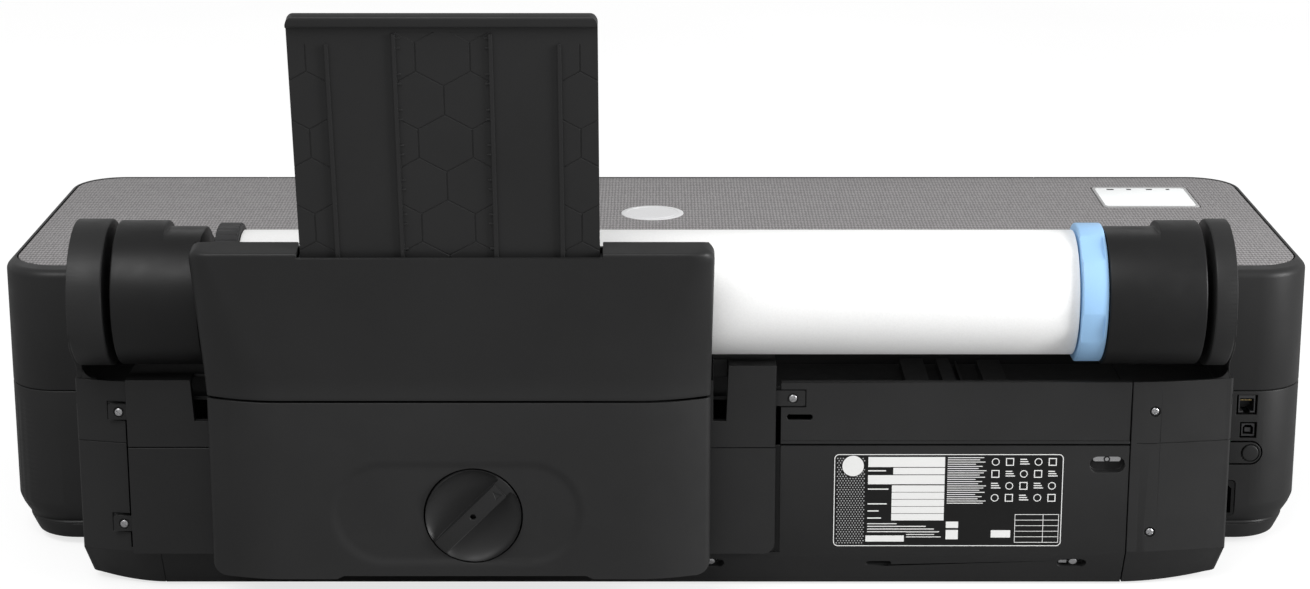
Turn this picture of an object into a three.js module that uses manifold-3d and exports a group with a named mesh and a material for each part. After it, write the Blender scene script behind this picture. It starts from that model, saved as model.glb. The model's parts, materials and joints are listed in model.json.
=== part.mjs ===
// Large format plotter, 24 inch desktop class, with a rear roll feed and a rear sheet feeder.
// Units are millimetres, +Z is up. The rear of the plotter faces -Y, the paper comes out at +Y.
// The origin is at the middle of the footprint, on the table. Left and right are as seen from
// behind the plotter: left is -X and right is +X.
import * as THREE from 'three';
import { mergeVertices } from 'three/addons/utils/BufferGeometryUtils.js';
import Module from 'manifold-3d';

const wasm = await Module();
wasm.setup();

// ---- driving dimensions ----
const GAP = 0.3;                // clearance left between pieces that meet

const BODY_HALF = 506.5;        // half width of the main body
const BODY_REAR = -61;
const BODY_FRONT = 274;
const BODY_BOTTOM = 6;
const BODY_TOP = 224;
const BODY_SEAM = 128;          // height of the seam between lower and upper covers
const BODY_CORNER = 42;         // corner radius in plan
const WALL = 3;
const CHAMFER_TOP = 34;         // the covers taper in below this height
const TAPER_SIDE = 14;
const TAPER_END = 4;
const TOP_FILLET = 6;
const REAR_SPLIT = 398;         // half width of the plain rear wall between the side covers
const FRONT_LEFT = -340.5;      // the front opening between the side covers
const FRONT_RIGHT = 331.5;

const PANEL_HALF = 500;         // top panel
const PANEL_REAR = -42;
const PANEL_FRONT = 264;
const PANEL_CORNER = 36;
const PANEL_THICK = 3;

const BLOCK_REAR = -161;        // rear face of the roll block behind the main body
const BLOCK_LEFT = -431.5;
const BLOCK_RIGHT = 429;
const CAP_SWING = 11;           // the end caps' rear faces sweep forward by this much
const CAP_CORNER = 2.5;         // corner radius of the end caps in plan
const CAP_CORNER_LOW = 14;      // the same at the bottom of the bevel
const CAP_LEAN = 4;
const BLOCK_PANEL_LEFT = -371.5;
const BLOCK_PANEL_RIGHT = 352.5;
const BLOCK_TOP = 165;
const BLOCK_SEAM = 117;
const BLOCK_BOTTOM = 2;
const BEVEL_TOP = 32;           // the rear face tapers forward below this height
const BEVEL_DEPTH = 17;
const TROUGH_Z = 150;           // floor of the trough under the roll

const ROLL_Y = -147;            // roll axis
const ROLL_Z = 230.5;
const ROLL_LEFT = -303;
const ROLL_LENGTH = 610;        // 24 inch paper
const ROLL_RADIUS = 46;
const CORE_RADIUS = 28;
const SHAFT_RADIUS = 9;
const HUB_RADIUS = 48.5;
const EAR_RADIUS = 54;
const SHAFT_END = 411;
// Bearing ears: distances of their inner and outer faces from the middle, and of the inner face
// of the plate that joins each one to its end cap.
const EAR_LEFT = { inner: 399, outer: 424.5, plate: 425.5 };
const EAR_RIGHT = { inner: 403, outer: 418.5, plate: 424.5 };
const EAR_PLATE = 6;            // thickness of that plate
const EAR_SHOULDER = 222;       // height up to which the plate leans
const CAP_SWEEP = 1.6;          // exponent of the end caps' forward sweep
const GRIP_RADIUS = 53;         // collar on the outboard part of each hub
const HUB_LEFT_END = -393.3;
const HUB_RIGHT_END = 397.3;
const STOPPER_RADIUS = 51;
const STOPPER_OUTER = 326.4;
const STOPPER_LIP = 2.4;        // plain lip outside its grip flats
const FLAT_FIRST = 197.5;       // direction and angular width of the stopper's grip flats
const FLAT_WIDTH = 27;

const FEEDER_LEFT = -391.5;     // sheet feeder housing let into the roll block
const FEEDER_RIGHT = 88.6;
const FEEDER_FACE = -166;
const DOOR_LEFT = -326.7;       // sheet feeder covers
const DOOR_RIGHT = 39.7;
const DOOR_REAR = -211;
const DOOR_BOTTOM = 29;
const DOOR_TOP = 164.7;
const LEAN = THREE.MathUtils.degToRad(12.5);
const COVER_HEIGHT = 120;       // height of the upper cover along its slope
const COVER_DEPTH = 20;
const COVER_WALL = 2.2;
const NOTCH_LEFT = -253;
const NOTCH_RIGHT = -37.5;

const EXTENSION_LEFT = -251;
const EXTENSION_RIGHT = -39.5;
const EXTENSION_OUT = 178;      // length of the extension above the cover's rim
const EXTENSION_HIDDEN = 30;
const EXTENSION_THICK = 5.5;

const RAIL_Y = 90;              // carriage guide rail
const RAIL_Z = 158;
const CARRIAGE_LEFT = -440;     // parked over the service station
const CARRIAGE_WIDTH = 76;
const FRAME_X = 475;            // steel side frames
const FEED_Y = 60;
const FEED_Z = 106;
const FEED_RADIUS = 8;
const PINCH_RADIUS = 5;
const CUTTER_Y = 196;
const BELT_Y = 97;
const PULLEY_X = 455;
const PULLEY_RADIUS = 7.6;

const INK_LEFT = 341;           // ink bay
const CARTRIDGE_PITCH = 26;
const CARTRIDGE_WIDTH = 23.4;

// ---- materials ----
const finish = (color, roughness, metalness = 0) =>
  new THREE.MeshStandardMaterial({ color, roughness, metalness });
const CHARCOAL = finish(0x303030, 0.5);
const DARK_GREY = finish(0x3c3c3c, 0.55);
const TOP_GREY = finish(0x7d7878, 0.6);
const BLACK = finish(0x141414, 0.6);
const PAPER = finish(0xf2f2f0, 0.9);
const CARD = finish(0xa98a62, 0.9);
const BLUE = finish(0xa4cdf5, 0.45);
const STEEL = finish(0xb8bcc0, 0.35, 1);
const CHROME = finish(0xe6e6e6, 0.15, 1);
const RUBBER = finish(0x1c1c1c, 0.85);
const GLASS = finish(0xe8ecec, 0.1);
const SMOKE = finish(0x26282a, 0.15);
const GREEN = finish(0x2d6b45, 0.6);
const INKS = { black: 0x1a1a1a, cyan: 0x2aa0cf, magenta: 0xc23a80, yellow: 0xe2c534 };

// ---- solids ----
function solid(geometry) {
  const bare = new THREE.BufferGeometry();
  bare.setAttribute('position', geometry.getAttribute('position').clone());
  if (geometry.index) bare.setIndex(geometry.index.clone());
  const merged = mergeVertices(bare, 1e-4);
  const corners = merged.index.array;
  const kept = [];
  for (let i = 0; i < corners.length; i += 3) {
    const [a, b, c] = [corners[i], corners[i + 1], corners[i + 2]];
    if (a !== b && b !== c && c !== a) kept.push(a, b, c);
  }
  const vertProperties = new Float32Array(merged.getAttribute('position').array);
  const triVerts = new Uint32Array(kept);
  return new wasm.Manifold(new wasm.Mesh({ numProp: 3, vertProperties, triVerts }));
}

function geometryOf(body) {
  const data = body.getMesh();
  const geometry = new THREE.BufferGeometry();
  geometry.setAttribute('position', new THREE.BufferAttribute(data.vertProperties, 3));
  geometry.setIndex(new THREE.BufferAttribute(data.triVerts, 1));
  const flat = geometry.toNonIndexed();
  flat.computeVertexNormals();
  return flat;
}

// A box between two corners.
function block(x0, x1, y0, y1, z0, z1) {
  const box = new THREE.BoxGeometry(Math.abs(x1 - x0), y1 - y0, z1 - z0);
  return solid(box.translate((x0 + x1) / 2, (y0 + y1) / 2, (z0 + z1) / 2));
}

// Round bars along each axis.
function rodX(radius, x0, x1, y, z, sides = 24) {
  const rod = new THREE.CylinderGeometry(radius, radius, Math.abs(x1 - x0), sides);
  return solid(rod.rotateZ(Math.PI / 2).translate((x0 + x1) / 2, y, z));
}

function rodY(radius, y0, y1, x, z, sides = 16) {
  const rod = new THREE.CylinderGeometry(radius, radius, y1 - y0, sides);
  return solid(rod.translate(x, (y0 + y1) / 2, z));
}

function rodZ(radius, z0, z1, x, y, sides = 20) {
  const rod = new THREE.CylinderGeometry(radius, radius, z1 - z0, sides);
  return solid(rod.rotateX(Math.PI / 2).translate(x, y, (z0 + z1) / 2));
}

// Prisms: the outline is drawn in the plane square to the named axis.
const AXES = { x: [[0, 1, 0], [0, 0, 1], [1, 0, 0]], y: [[1, 0, 0], [0, 0, 1], [0, -1, 0]],
  z: [[1, 0, 0], [0, 1, 0], [0, 0, 1]] };

function prism(axis, outline, from, to, curveSegments = 6) {
  const depth = Math.abs(to - from);
  const start = axis === 'y' ? Math.max(from, to) : Math.min(from, to);
  const shape = outline instanceof THREE.Shape
    ? outline : new THREE.Shape(outline.map(([u, v]) => new THREE.Vector2(u, v)));
  const geometry = new THREE.ExtrudeGeometry(shape, { depth, bevelEnabled: false, curveSegments });
  const [u, v, w] = AXES[axis].map((a) => new THREE.Vector3(...a));
  geometry.applyMatrix4(new THREE.Matrix4().makeBasis(u, v, w));
  const along = { x: [start, 0, 0], y: [0, start, 0], z: [0, 0, start] }[axis];
  return solid(geometry.translate(...along));
}

function roundedRect(x0, x1, y0, y1, radius) {
  const shape = new THREE.Shape();
  shape.moveTo(x0 + radius, y0);
  shape.lineTo(x1 - radius, y0);
  shape.absarc(x1 - radius, y0 + radius, radius, -Math.PI / 2, 0);
  shape.lineTo(x1, y1 - radius);
  shape.absarc(x1 - radius, y1 - radius, radius, 0, Math.PI / 2);
  shape.lineTo(x0 + radius, y1);
  shape.absarc(x0 + radius, y1 - radius, radius, Math.PI / 2, Math.PI);
  shape.lineTo(x0, y0 + radius);
  shape.absarc(x0 + radius, y0 + radius, radius, Math.PI, 1.5 * Math.PI);
  return shape;
}

// A convex solid skinned over a stack of sections that all have the same number of points.
function loft(sections) {
  const count = sections[0].length;
  const positions = sections.flat().flatMap((p) => [p.x, p.y, p.z]);
  const index = [];
  for (let s = 0; s + 1 < sections.length; s += 1) {
    for (let i = 0; i < count; i += 1) {
      const [a, b] = [s * count + i, s * count + (i + 1) % count];
      index.push(a, b, b + count, a, b + count, a + count);
    }
  }
  const last = (sections.length - 1) * count;
  for (let i = 1; i + 1 < count; i += 1) {
    index.push(0, i + 1, i, last, last + i, last + i + 1);
  }
  const geometry = new THREE.BufferGeometry();
  geometry.setAttribute('position', new THREE.Float32BufferAttribute(positions, 3));
  geometry.setIndex(index);
  return solid(geometry);
}

// ---- the scene graph ----
const plotter = new THREE.Group();
plotter.name = 'large_format_plotter';

function add(name, body, material, group = plotter) {
  const mesh = new THREE.Mesh(geometryOf(body), material);
  mesh.name = name;
  group.add(mesh);
  return mesh;
}

// ---- main body covers ----
// Plan outline of the main body at one height, set in from the side and from the ends.
function bodySection(z, insetX, insetY) {
  const radius = BODY_CORNER - Math.min(insetX, insetY);
  const shape = roundedRect(-BODY_HALF + insetX, BODY_HALF - insetX,
    BODY_REAR + insetY, BODY_FRONT - insetY, radius);
  return shape.getPoints(5).slice(0, -1).map((p) => new THREE.Vector3(p.x, p.y, z));
}

function lowerShell() {
  const outer = loft([bodySection(BODY_BOTTOM, TAPER_SIDE, TAPER_END),
    bodySection(CHAMFER_TOP, 0, 0), bodySection(BODY_SEAM - GAP, 0, 0)]);
  const inner = loft([bodySection(BODY_BOTTOM - 1, TAPER_SIDE + WALL, TAPER_END + WALL),
    bodySection(CHAMFER_TOP, WALL, WALL), bodySection(BODY_SEAM + 1, WALL, WALL)]);
  return outer.subtract(inner);
}

function upperShell() {
  const step = TOP_FILLET * (1 - Math.SQRT1_2);
  const outer = loft([bodySection(BODY_SEAM, 0, 0), bodySection(BODY_TOP - TOP_FILLET, 0, 0),
    bodySection(BODY_TOP - step, step, step), bodySection(BODY_TOP, TOP_FILLET, TOP_FILLET)]);
  const inner = loft([bodySection(BODY_SEAM - 1, WALL, WALL),
    bodySection(BODY_TOP - PANEL_THICK, WALL, WALL)]);
  const recess = prism('z', roundedRect(-PANEL_HALF - 0.6, PANEL_HALF + 0.6,
    PANEL_REAR - 0.6, PANEL_FRONT + 0.6, PANEL_CORNER + 0.6), 200, 230, 5);
  return outer.subtract(inner).subtract(recess);
}

// The stretch of the shell that one side cover takes: round the corner at the rear and the front.
function sideRegion(side) {
  const frontEdge = side < 0 ? FRONT_LEFT - 0.5 : FRONT_RIGHT + 0.5;
  const outside = side * 520;
  return block(side * (REAR_SPLIT + 0.3), outside, -80, 100, 0, 240)
    .add(block(frontEdge, outside, 100, 290, 0, 240));
}

const HINGE_Y = 271.5;          // hinge pins of the front cover and the ink door
const COVER_HINGE_Z = 208.5;
const INK_HINGE_Z = 44.5;
const PIN_RADIUS = 1.2;
const PIN_BORE = 1.5;
const DOOR_X = [343, 447];      // ink door opening

// A hinge boss behind the front wall, bored for a pin.
function hingeBoss(x0, x1, z) {
  return block(x0, x1, 266, 272, z - 4.5, z + 4.5);
}

function sideCovers() {
  const lower = lowerShell();
  const upper = upperShell();
  add('left_lower_cover', lower.intersect(sideRegion(-1)), CHARCOAL);
  const leftUpper = upper.intersect(sideRegion(-1))
    .add(hingeBoss(FRONT_LEFT - 8, FRONT_LEFT - 0.5, COVER_HINGE_Z))
    .subtract(rodX(PIN_BORE, FRONT_LEFT - 6.5, FRONT_LEFT + 1, HINGE_Y, COVER_HINGE_Z, 12));
  add('left_upper_cover', leftUpper, CHARCOAL);
  const rightUpper = upper.intersect(sideRegion(1))
    .add(hingeBoss(FRONT_RIGHT + 0.5, FRONT_RIGHT + 8, COVER_HINGE_Z))
    .subtract(rodX(PIN_BORE, FRONT_RIGHT - 1, FRONT_RIGHT + 6.5, HINGE_Y, COVER_HINGE_Z, 12));
  add('right_upper_cover', rightUpper, CHARCOAL);
  let rightLower = lower.intersect(sideRegion(1))
    .subtract(block(DOOR_X[0], DOOR_X[1], 262, 280, 41, 118.6));
  for (const x of [DOOR_X[0] - 7, DOOR_X[1]]) {
    rightLower = rightLower.add(hingeBoss(x, x + 7, INK_HINGE_Z));
  }
  rightLower = rightLower
    .subtract(rodX(PIN_BORE, DOOR_X[0] - 5, DOOR_X[1] + 5, HINGE_Y, INK_HINGE_Z, 12))
    .subtract(block(451, 467, -70, -50, 108.6, 124.6))
    .subtract(block(454.5, 467.5, -70, -50, 89.5, 102.5))
    .subtract(block(430.6, 453.4, -70, -50, 25.1, 54.9))
    .subtract(prism('y', buttonOutline(9.6), -70, -50));
  add('right_lower_cover', rightLower, CHARCOAL);
}

// Power button: a disc on a long tongue in the rear wall, to the right of the roll block.
const BUTTON_X = 463.5;
const BUTTON_Z = 77.4;
function buttonOutline(radius) {
  const shape = new THREE.Shape();
  shape.moveTo(447 + (9 - radius), BUTTON_Z - radius);
  shape.lineTo(BUTTON_X, BUTTON_Z - radius);
  shape.absarc(BUTTON_X, BUTTON_Z, radius, -Math.PI / 2, Math.PI / 2);
  shape.lineTo(447 + (9 - radius), BUTTON_Z + radius);
  return shape;
}

function powerButton() {
  const tongue = prism('y', buttonOutline(9), BODY_REAR, BODY_REAR + 2, 8);
  add('power_button', tongue.add(rodY(6.5, BODY_REAR - 1, BODY_REAR + 1, BUTTON_X, BUTTON_Z)),
    CHARCOAL);
}

function rearCover() {
  const step = TOP_FILLET * (1 - Math.SQRT1_2);
  const profile = [[BODY_REAR, 10], [BODY_REAR + WALL, 10],
    [BODY_REAR + WALL, BODY_TOP - PANEL_THICK], [PANEL_REAR - 0.6, BODY_TOP - PANEL_THICK],
    [PANEL_REAR - 0.6, BODY_TOP], [BODY_REAR + TOP_FILLET, BODY_TOP],
    [BODY_REAR + step, BODY_TOP - step], [BODY_REAR, BODY_TOP - TOP_FILLET]];
  const slot = block(-312, 312, BODY_REAR - 10, BODY_REAR + 10, 166, 178);
  add('rear_cover', prism('x', profile, -REAR_SPLIT, REAR_SPLIT).subtract(slot), CHARCOAL);
}

function frontPieces() {
  const step = TOP_FILLET * (1 - Math.SQRT1_2);
  const beam = [[BODY_FRONT, 212.2], [BODY_FRONT, BODY_TOP - TOP_FILLET],
    [BODY_FRONT - step, BODY_TOP - step], [BODY_FRONT - TOP_FILLET, BODY_TOP],
    [PANEL_FRONT + 0.6, BODY_TOP], [PANEL_FRONT + 0.6, 221], [BODY_FRONT - WALL, 219],
    [BODY_FRONT - WALL, 212.2]];
  add('front_top_beam', prism('x', beam, FRONT_LEFT, FRONT_RIGHT), CHARCOAL);

  const fascia = [[BODY_FRONT - TAPER_END, BODY_BOTTOM], [BODY_FRONT, CHAMFER_TOP],
    [BODY_FRONT, 66], [BODY_FRONT - WALL, 66], [BODY_FRONT - WALL, CHAMFER_TOP],
    [BODY_FRONT - TAPER_END - WALL, BODY_BOTTOM]];
  add('front_fascia', prism('x', fascia, FRONT_LEFT, FRONT_RIGHT), CHARCOAL);
}

// Clear cover over the print zone: a flat plate that lifts on stub pins at its top edge.
function frontCover() {
  const [x0, x1] = [FRONT_LEFT + 1.5, FRONT_RIGHT - 1.5];
  const plate = block(x0, x1, 269.5, 273.5, 120, 211)
    .subtract(block(-40, 30, 272.5, 276, 122, 128))
    .add(rodX(PIN_RADIUS, x0 - 6, x1 + 6, HINGE_Y, COVER_HINGE_Z, 12));
  add('front_cover', plate, SMOKE);
}

function inkDoor() {
  const plate = block(DOOR_X[0] + 0.6, DOOR_X[1] - 0.6, 269.8, 273.5, 42.2, 118)
    .subtract(block(383, 407, 272.5, 276, 108, 114))
    .add(rodX(PIN_RADIUS, DOOR_X[0] - 4, DOOR_X[1] + 4, HINGE_Y, INK_HINGE_Z, 12));
  add('ink_door', plate, CHARCOAL);
}

// ---- top panel and display ----
const DISPLAY = { x0: 376, x1: 457, y0: 153, y1: 227 };
function topPanel() {
  const { x0, x1, y0, y1 } = DISPLAY;
  const plate = prism('z', roundedRect(-PANEL_HALF, PANEL_HALF, PANEL_REAR, PANEL_FRONT,
    PANEL_CORNER), BODY_TOP - PANEL_THICK, BODY_TOP, 6);
  const cut = prism('z', roundedRect(x0 - 0.5, x1 + 0.5, y0 - 0.5, y1 + 0.5, 4.5), 210, 230, 3);
  add('top_panel', plate.subtract(cut), TOP_GREY);
  add('display', prism('z', roundedRect(x0, x1, y0, y1, 4), BODY_TOP - 7, BODY_TOP + 0.4, 3), GLASS);
}

// ---- steel chassis and the works inside ----
function chassis() {
  let tray = prism('z', roundedRect(-FRAME_X - 2, FRAME_X + 2, -44, 246, 20), 8.2, 10.2, 3);
  for (const side of [-1, 1]) {
    tray = tray.add(block(side * FRAME_X, side * (FRAME_X + 2), -44, 246, 8.2, 220.5))
      .subtract(rodX(3.4, side * (FRAME_X - 1), side * (FRAME_X + 3), FEED_Y, FEED_Z, 16));
  }
  add('chassis', tray, STEEL);
  add('guide_rail', block(-FRAME_X + GAP, FRAME_X - GAP, RAIL_Y, RAIL_Y + 14, RAIL_Z, RAIL_Z + 14),
    STEEL);
  add('service_station', block(-440, -364, 106, 185, 10.6, 116.5)
    .subtract(block(-434, -370, 112, 179, 112, 118)), DARK_GREY);
  add('power_supply', block(290, 426, -50, 48, 12, 58), STEEL);
}

// The platen, the rib that the cutter runs on, and the chute down to the output slot.
function paperPath() {
  const profile = [[75, 108], [190, 108], [203, 107.5], [268, 68], [273.5, 66.5], [273.5, 68.7],
    [268.6, 70], [CUTTER_Y + 6, 110.5], [CUTTER_Y + 6, 117], [CUTTER_Y, 117], [CUTTER_Y, 112],
    [75, 112]];
  add('paper_path_plate', prism('x', profile, -325, 325), DARK_GREY);

  const feed = rodX(FEED_RADIUS, -325, 325, FEED_Y, FEED_Z, 20)
    .add(rodX(3, -FRAME_X - 4, FRAME_X + 4, FEED_Y, FEED_Z, 16))
    .add(rodX(22, -469, -464, FEED_Y, FEED_Z, 24));
  add('feed_roller', feed, RUBBER);
  const pinchZ = FEED_Z + FEED_RADIUS + PINCH_RADIUS + 0.4;
  add('pinch_roller', rodX(PINCH_RADIUS, -320, 320, FEED_Y, pinchZ, 16)
    .add(rodX(2, -460, 460, FEED_Y, pinchZ, 10)), RUBBER);

  const cutter = block(-322, -296, CUTTER_Y - 6, CUTTER_Y + 12, 113, 135)
    .subtract(block(-330, -290, CUTTER_Y - 0.6, CUTTER_Y + 6.6, 100, 117.6));
  add('cutter_carriage', cutter, BLACK);
}

function carriage() {
  const x0 = CARRIAGE_LEFT;
  const x1 = CARRIAGE_LEFT + CARRIAGE_WIDTH;
  const railTop = RAIL_Z + 14;
  const body = block(x0, x1, RAIL_Y + 14.6, 185, 117.5, 186)
    .add(block(x0, x1, RAIL_Y - 6, RAIL_Y + 16, railTop + 0.6, 186))
    .add(block(x0, x1, RAIL_Y - 6, RAIL_Y - 0.6, RAIL_Z + 2, 180))
    .add(block(x0 + 28, x1 - 28, BELT_Y + 9.8, BELT_Y + 16, 184, 197));
  add('print_carriage', body, BLACK);

  const belt = prism('z', beltLoop(PULLEY_RADIUS + 1.6), 190, 196, 8)
    .subtract(prism('z', beltLoop(PULLEY_RADIUS + 0.4), 180, 200, 8));
  add('carriage_belt', belt, RUBBER);
  add('belt_idler', rodZ(PULLEY_RADIUS, 188.5, 197, -PULLEY_X, BELT_Y), STEEL);
  add('carriage_motor', rodZ(PULLEY_RADIUS, 188.5, 199, PULLEY_X, BELT_Y)
    .add(rodZ(17, 198, 219, PULLEY_X, BELT_Y)), BLACK);
}

// A closed loop round both pulleys.
function beltLoop(radius) {
  const shape = new THREE.Shape();
  shape.absarc(PULLEY_X, BELT_Y, radius, -Math.PI / 2, Math.PI / 2);
  shape.absarc(-PULLEY_X, BELT_Y, radius, Math.PI / 2, 1.5 * Math.PI);
  return shape;
}

function inkBay() {
  const width = 4 * CARTRIDGE_PITCH + 4;
  let bay = block(INK_LEFT, INK_LEFT + width, 96, 204, 10.6, 115.5)
    .subtract(block(INK_LEFT + 3, INK_LEFT + width - 3, 90, 210, 5, 42));
  Object.entries(INKS).forEach(([ink, color], i) => {
    const x = INK_LEFT + 2.8 + i * CARTRIDGE_PITCH;
    bay = bay.subtract(block(x, x + CARTRIDGE_WIDTH + 1, 99, 210, 45, 112));
    const body = block(x + 0.5, x + 0.5 + CARTRIDGE_WIDTH, 99.6, 200, 45.6, 108)
      .add(block(x + 7, x + CARTRIDGE_WIDTH - 6, 192, 203, 100, 106));
    add(`cartridge_${ink}`, body, finish(color, 0.4));
  });
  add('ink_bay', bay, DARK_GREY);
}

function electronics() {
  add('main_board', block(447.4, 449, -57, 50, 60, 126), GREEN);
  add('ethernet_jack', block(451.3, 466.7, -60.5, -42, 108.9, 124.3)
    .subtract(block(453.3, 464.7, -70, -46, 111, 121.6)), STEEL);
  add('usb_port', block(454.8, 467.2, -60.5, -44, 89.8, 102.2)
    .subtract(block(456.5, 465.5, -70, -48, 91.8, 100.2)), STEEL);
  let inlet = block(431, 453, -60.5, -38, 25.5, 54.5)
    .subtract(block(433.5, 450.5, -70, -42, 28, 52));
  for (const [x, z] of [[437.5, 37], [446.5, 37], [442, 45]]) {
    inlet = inlet.add(block(x - 1, x + 1, -56, -41, z - 2, z + 2));
  }
  add('power_inlet', inlet, BLACK);
}

// ---- roll block behind the main body ----
// Plan outline of an end cap at one height. Its rear face sweeps forward towards the outside, and
// "low" is 1 at the bottom of the bevel and 0 above it.
function capSection({ side, inner, outer }, z, inset, low, from = inner) {
  const rear = BLOCK_REAR + inset + low * BEVEL_DEPTH;
  const edge = outer - side * (inset + low * CAP_LEAN);
  const radius = low ? CAP_CORNER_LOW - inset : CAP_CORNER;
  const front = BODY_REAR - GAP - inset;
  const steps = 5;
  const points = [];
  for (let i = 0; i <= steps; i += 1) {
    const x = from + (edge - side * radius - from) * i / steps;
    const share = Math.max(0, (x - inner) / (outer - inner));
    points.push([x, rear + CAP_SWING * share ** CAP_SWEEP]);
  }
  const [cornerX, cornerY] = points[steps];
  for (let i = 1; i <= steps; i += 1) {
    const angle = Math.PI / 2 * i / steps;
    points.push([cornerX + side * radius * Math.sin(angle),
      cornerY + radius * (1 - Math.cos(angle))]);
  }
  points.push([edge, front], [from, front]);
  return (side > 0 ? points : points.reverse()).map(([x, y]) => new THREE.Vector3(x, y, z));
}

// Side view of the ear: the rear face sweeps out into a ring around the roll axis.
function earOutline() {
  const low = THREE.MathUtils.degToRad(200);
  const front = THREE.MathUtils.degToRad(40);
  const foot = BLOCK_REAR + CAP_SWING;
  const shape = new THREE.Shape();
  shape.moveTo(BODY_REAR - GAP, BLOCK_TOP - 20);
  shape.lineTo(foot, BLOCK_TOP - 20);
  shape.lineTo(foot, BLOCK_TOP);
  shape.bezierCurveTo(foot, BLOCK_TOP + 17, ROLL_Y - 43, ROLL_Z - 39.5,
    ROLL_Y + EAR_RADIUS * Math.cos(low), ROLL_Z + EAR_RADIUS * Math.sin(low));
  shape.absarc(ROLL_Y, ROLL_Z, EAR_RADIUS, low, front, true);
  shape.lineTo(BODY_REAR - GAP, 205);
  return shape;
}

function endCap(side, inner) {
  const ear = side < 0 ? EAR_LEFT : EAR_RIGHT;
  const outer = side < 0 ? BLOCK_LEFT : BLOCK_RIGHT;
  const cap = { side, inner, outer };
  const beyond = inner - side * 5;
  const shell = loft([capSection(cap, BLOCK_BOTTOM, 0, 1), capSection(cap, BEVEL_TOP, 0, 0),
    capSection(cap, BLOCK_TOP, 0, 0)]);
  const hollow = loft([capSection(cap, BLOCK_BOTTOM + WALL, WALL, 1, beyond),
    capSection(cap, BEVEL_TOP + WALL / 2, WALL, 0, beyond),
    capSection(cap, TROUGH_Z - WALL, WALL, 0, beyond)]);
  const trough = loft([capSection(cap, TROUGH_Z, WALL, 0, beyond),
    capSection(cap, BLOCK_TOP + 5, WALL, 0, beyond)])
    .intersect(block(side * ear.plate, beyond, -200, 0, 0, 200));
  // The plate leans in from the cap's side wall to the ear.
  const inside = side * (ear.outer - EAR_PLATE);
  const top = ROLL_Z + EAR_RADIUS + 1;
  const plate = prism('x', earOutline(), inside, outer, 8)
    .intersect(prism('y', [[side * ear.plate, BLOCK_TOP - 25], [outer, BLOCK_TOP - 25],
      [outer, BLOCK_TOP - 10], [side * ear.outer, EAR_SHOULDER], [side * ear.outer, top],
      [inside, top], [inside, EAR_SHOULDER], [side * ear.plate, BLOCK_TOP + 5]], -230, 0));
  const slot = new THREE.BoxGeometry(20, 80, 2 * (SHAFT_RADIUS + 0.8));
  slot.translate(0, 40, 0).rotateX(Math.PI / 4);
  slot.translate(side * (SHAFT_END - 8), ROLL_Y, ROLL_Z);
  return shell.subtract(hollow).subtract(trough).add(plate)
    .add(rodX(EAR_RADIUS, side * ear.inner, side * ear.outer, ROLL_Y, ROLL_Z, 36))
    .subtract(rodX(SHAFT_RADIUS + 0.8, side * (ear.inner - 1), side * (SHAFT_END + 2), ROLL_Y,
      ROLL_Z, 24))
    .subtract(solid(slot));
}

// Feeder tabs: each is screwed into a shallow recess in the roll block.
const TABS = [
  { name: 'tab_screw_left_upper', x: -398, z: 142 },
  { name: 'tab_screw_left_lower', x: -398, z: 54.6 },
  { name: 'tab_screw_right', x: 101.3, z: 152.6 },
];
const SCREW_HOLE = 1.6;
const tabRecess = ({ x, z }) => block(x - 9, x + 10, -170, BLOCK_REAR + 2, z - 7, z + 7);
const screwHole = ({ x, z }) => rodY(SCREW_HOLE, -170, -150, x, z, 12);

function tabScrews() {
  for (const { name, x, z } of TABS) {
    const head = rodY(3, BLOCK_REAR - 1.6, BLOCK_REAR - 0.2, x, z, 20);
    add(name, head.add(rodY(1.3, BLOCK_REAR - 1, BLOCK_REAR + 2.6, x, z, 12)), CHROME);
  }
}

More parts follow.
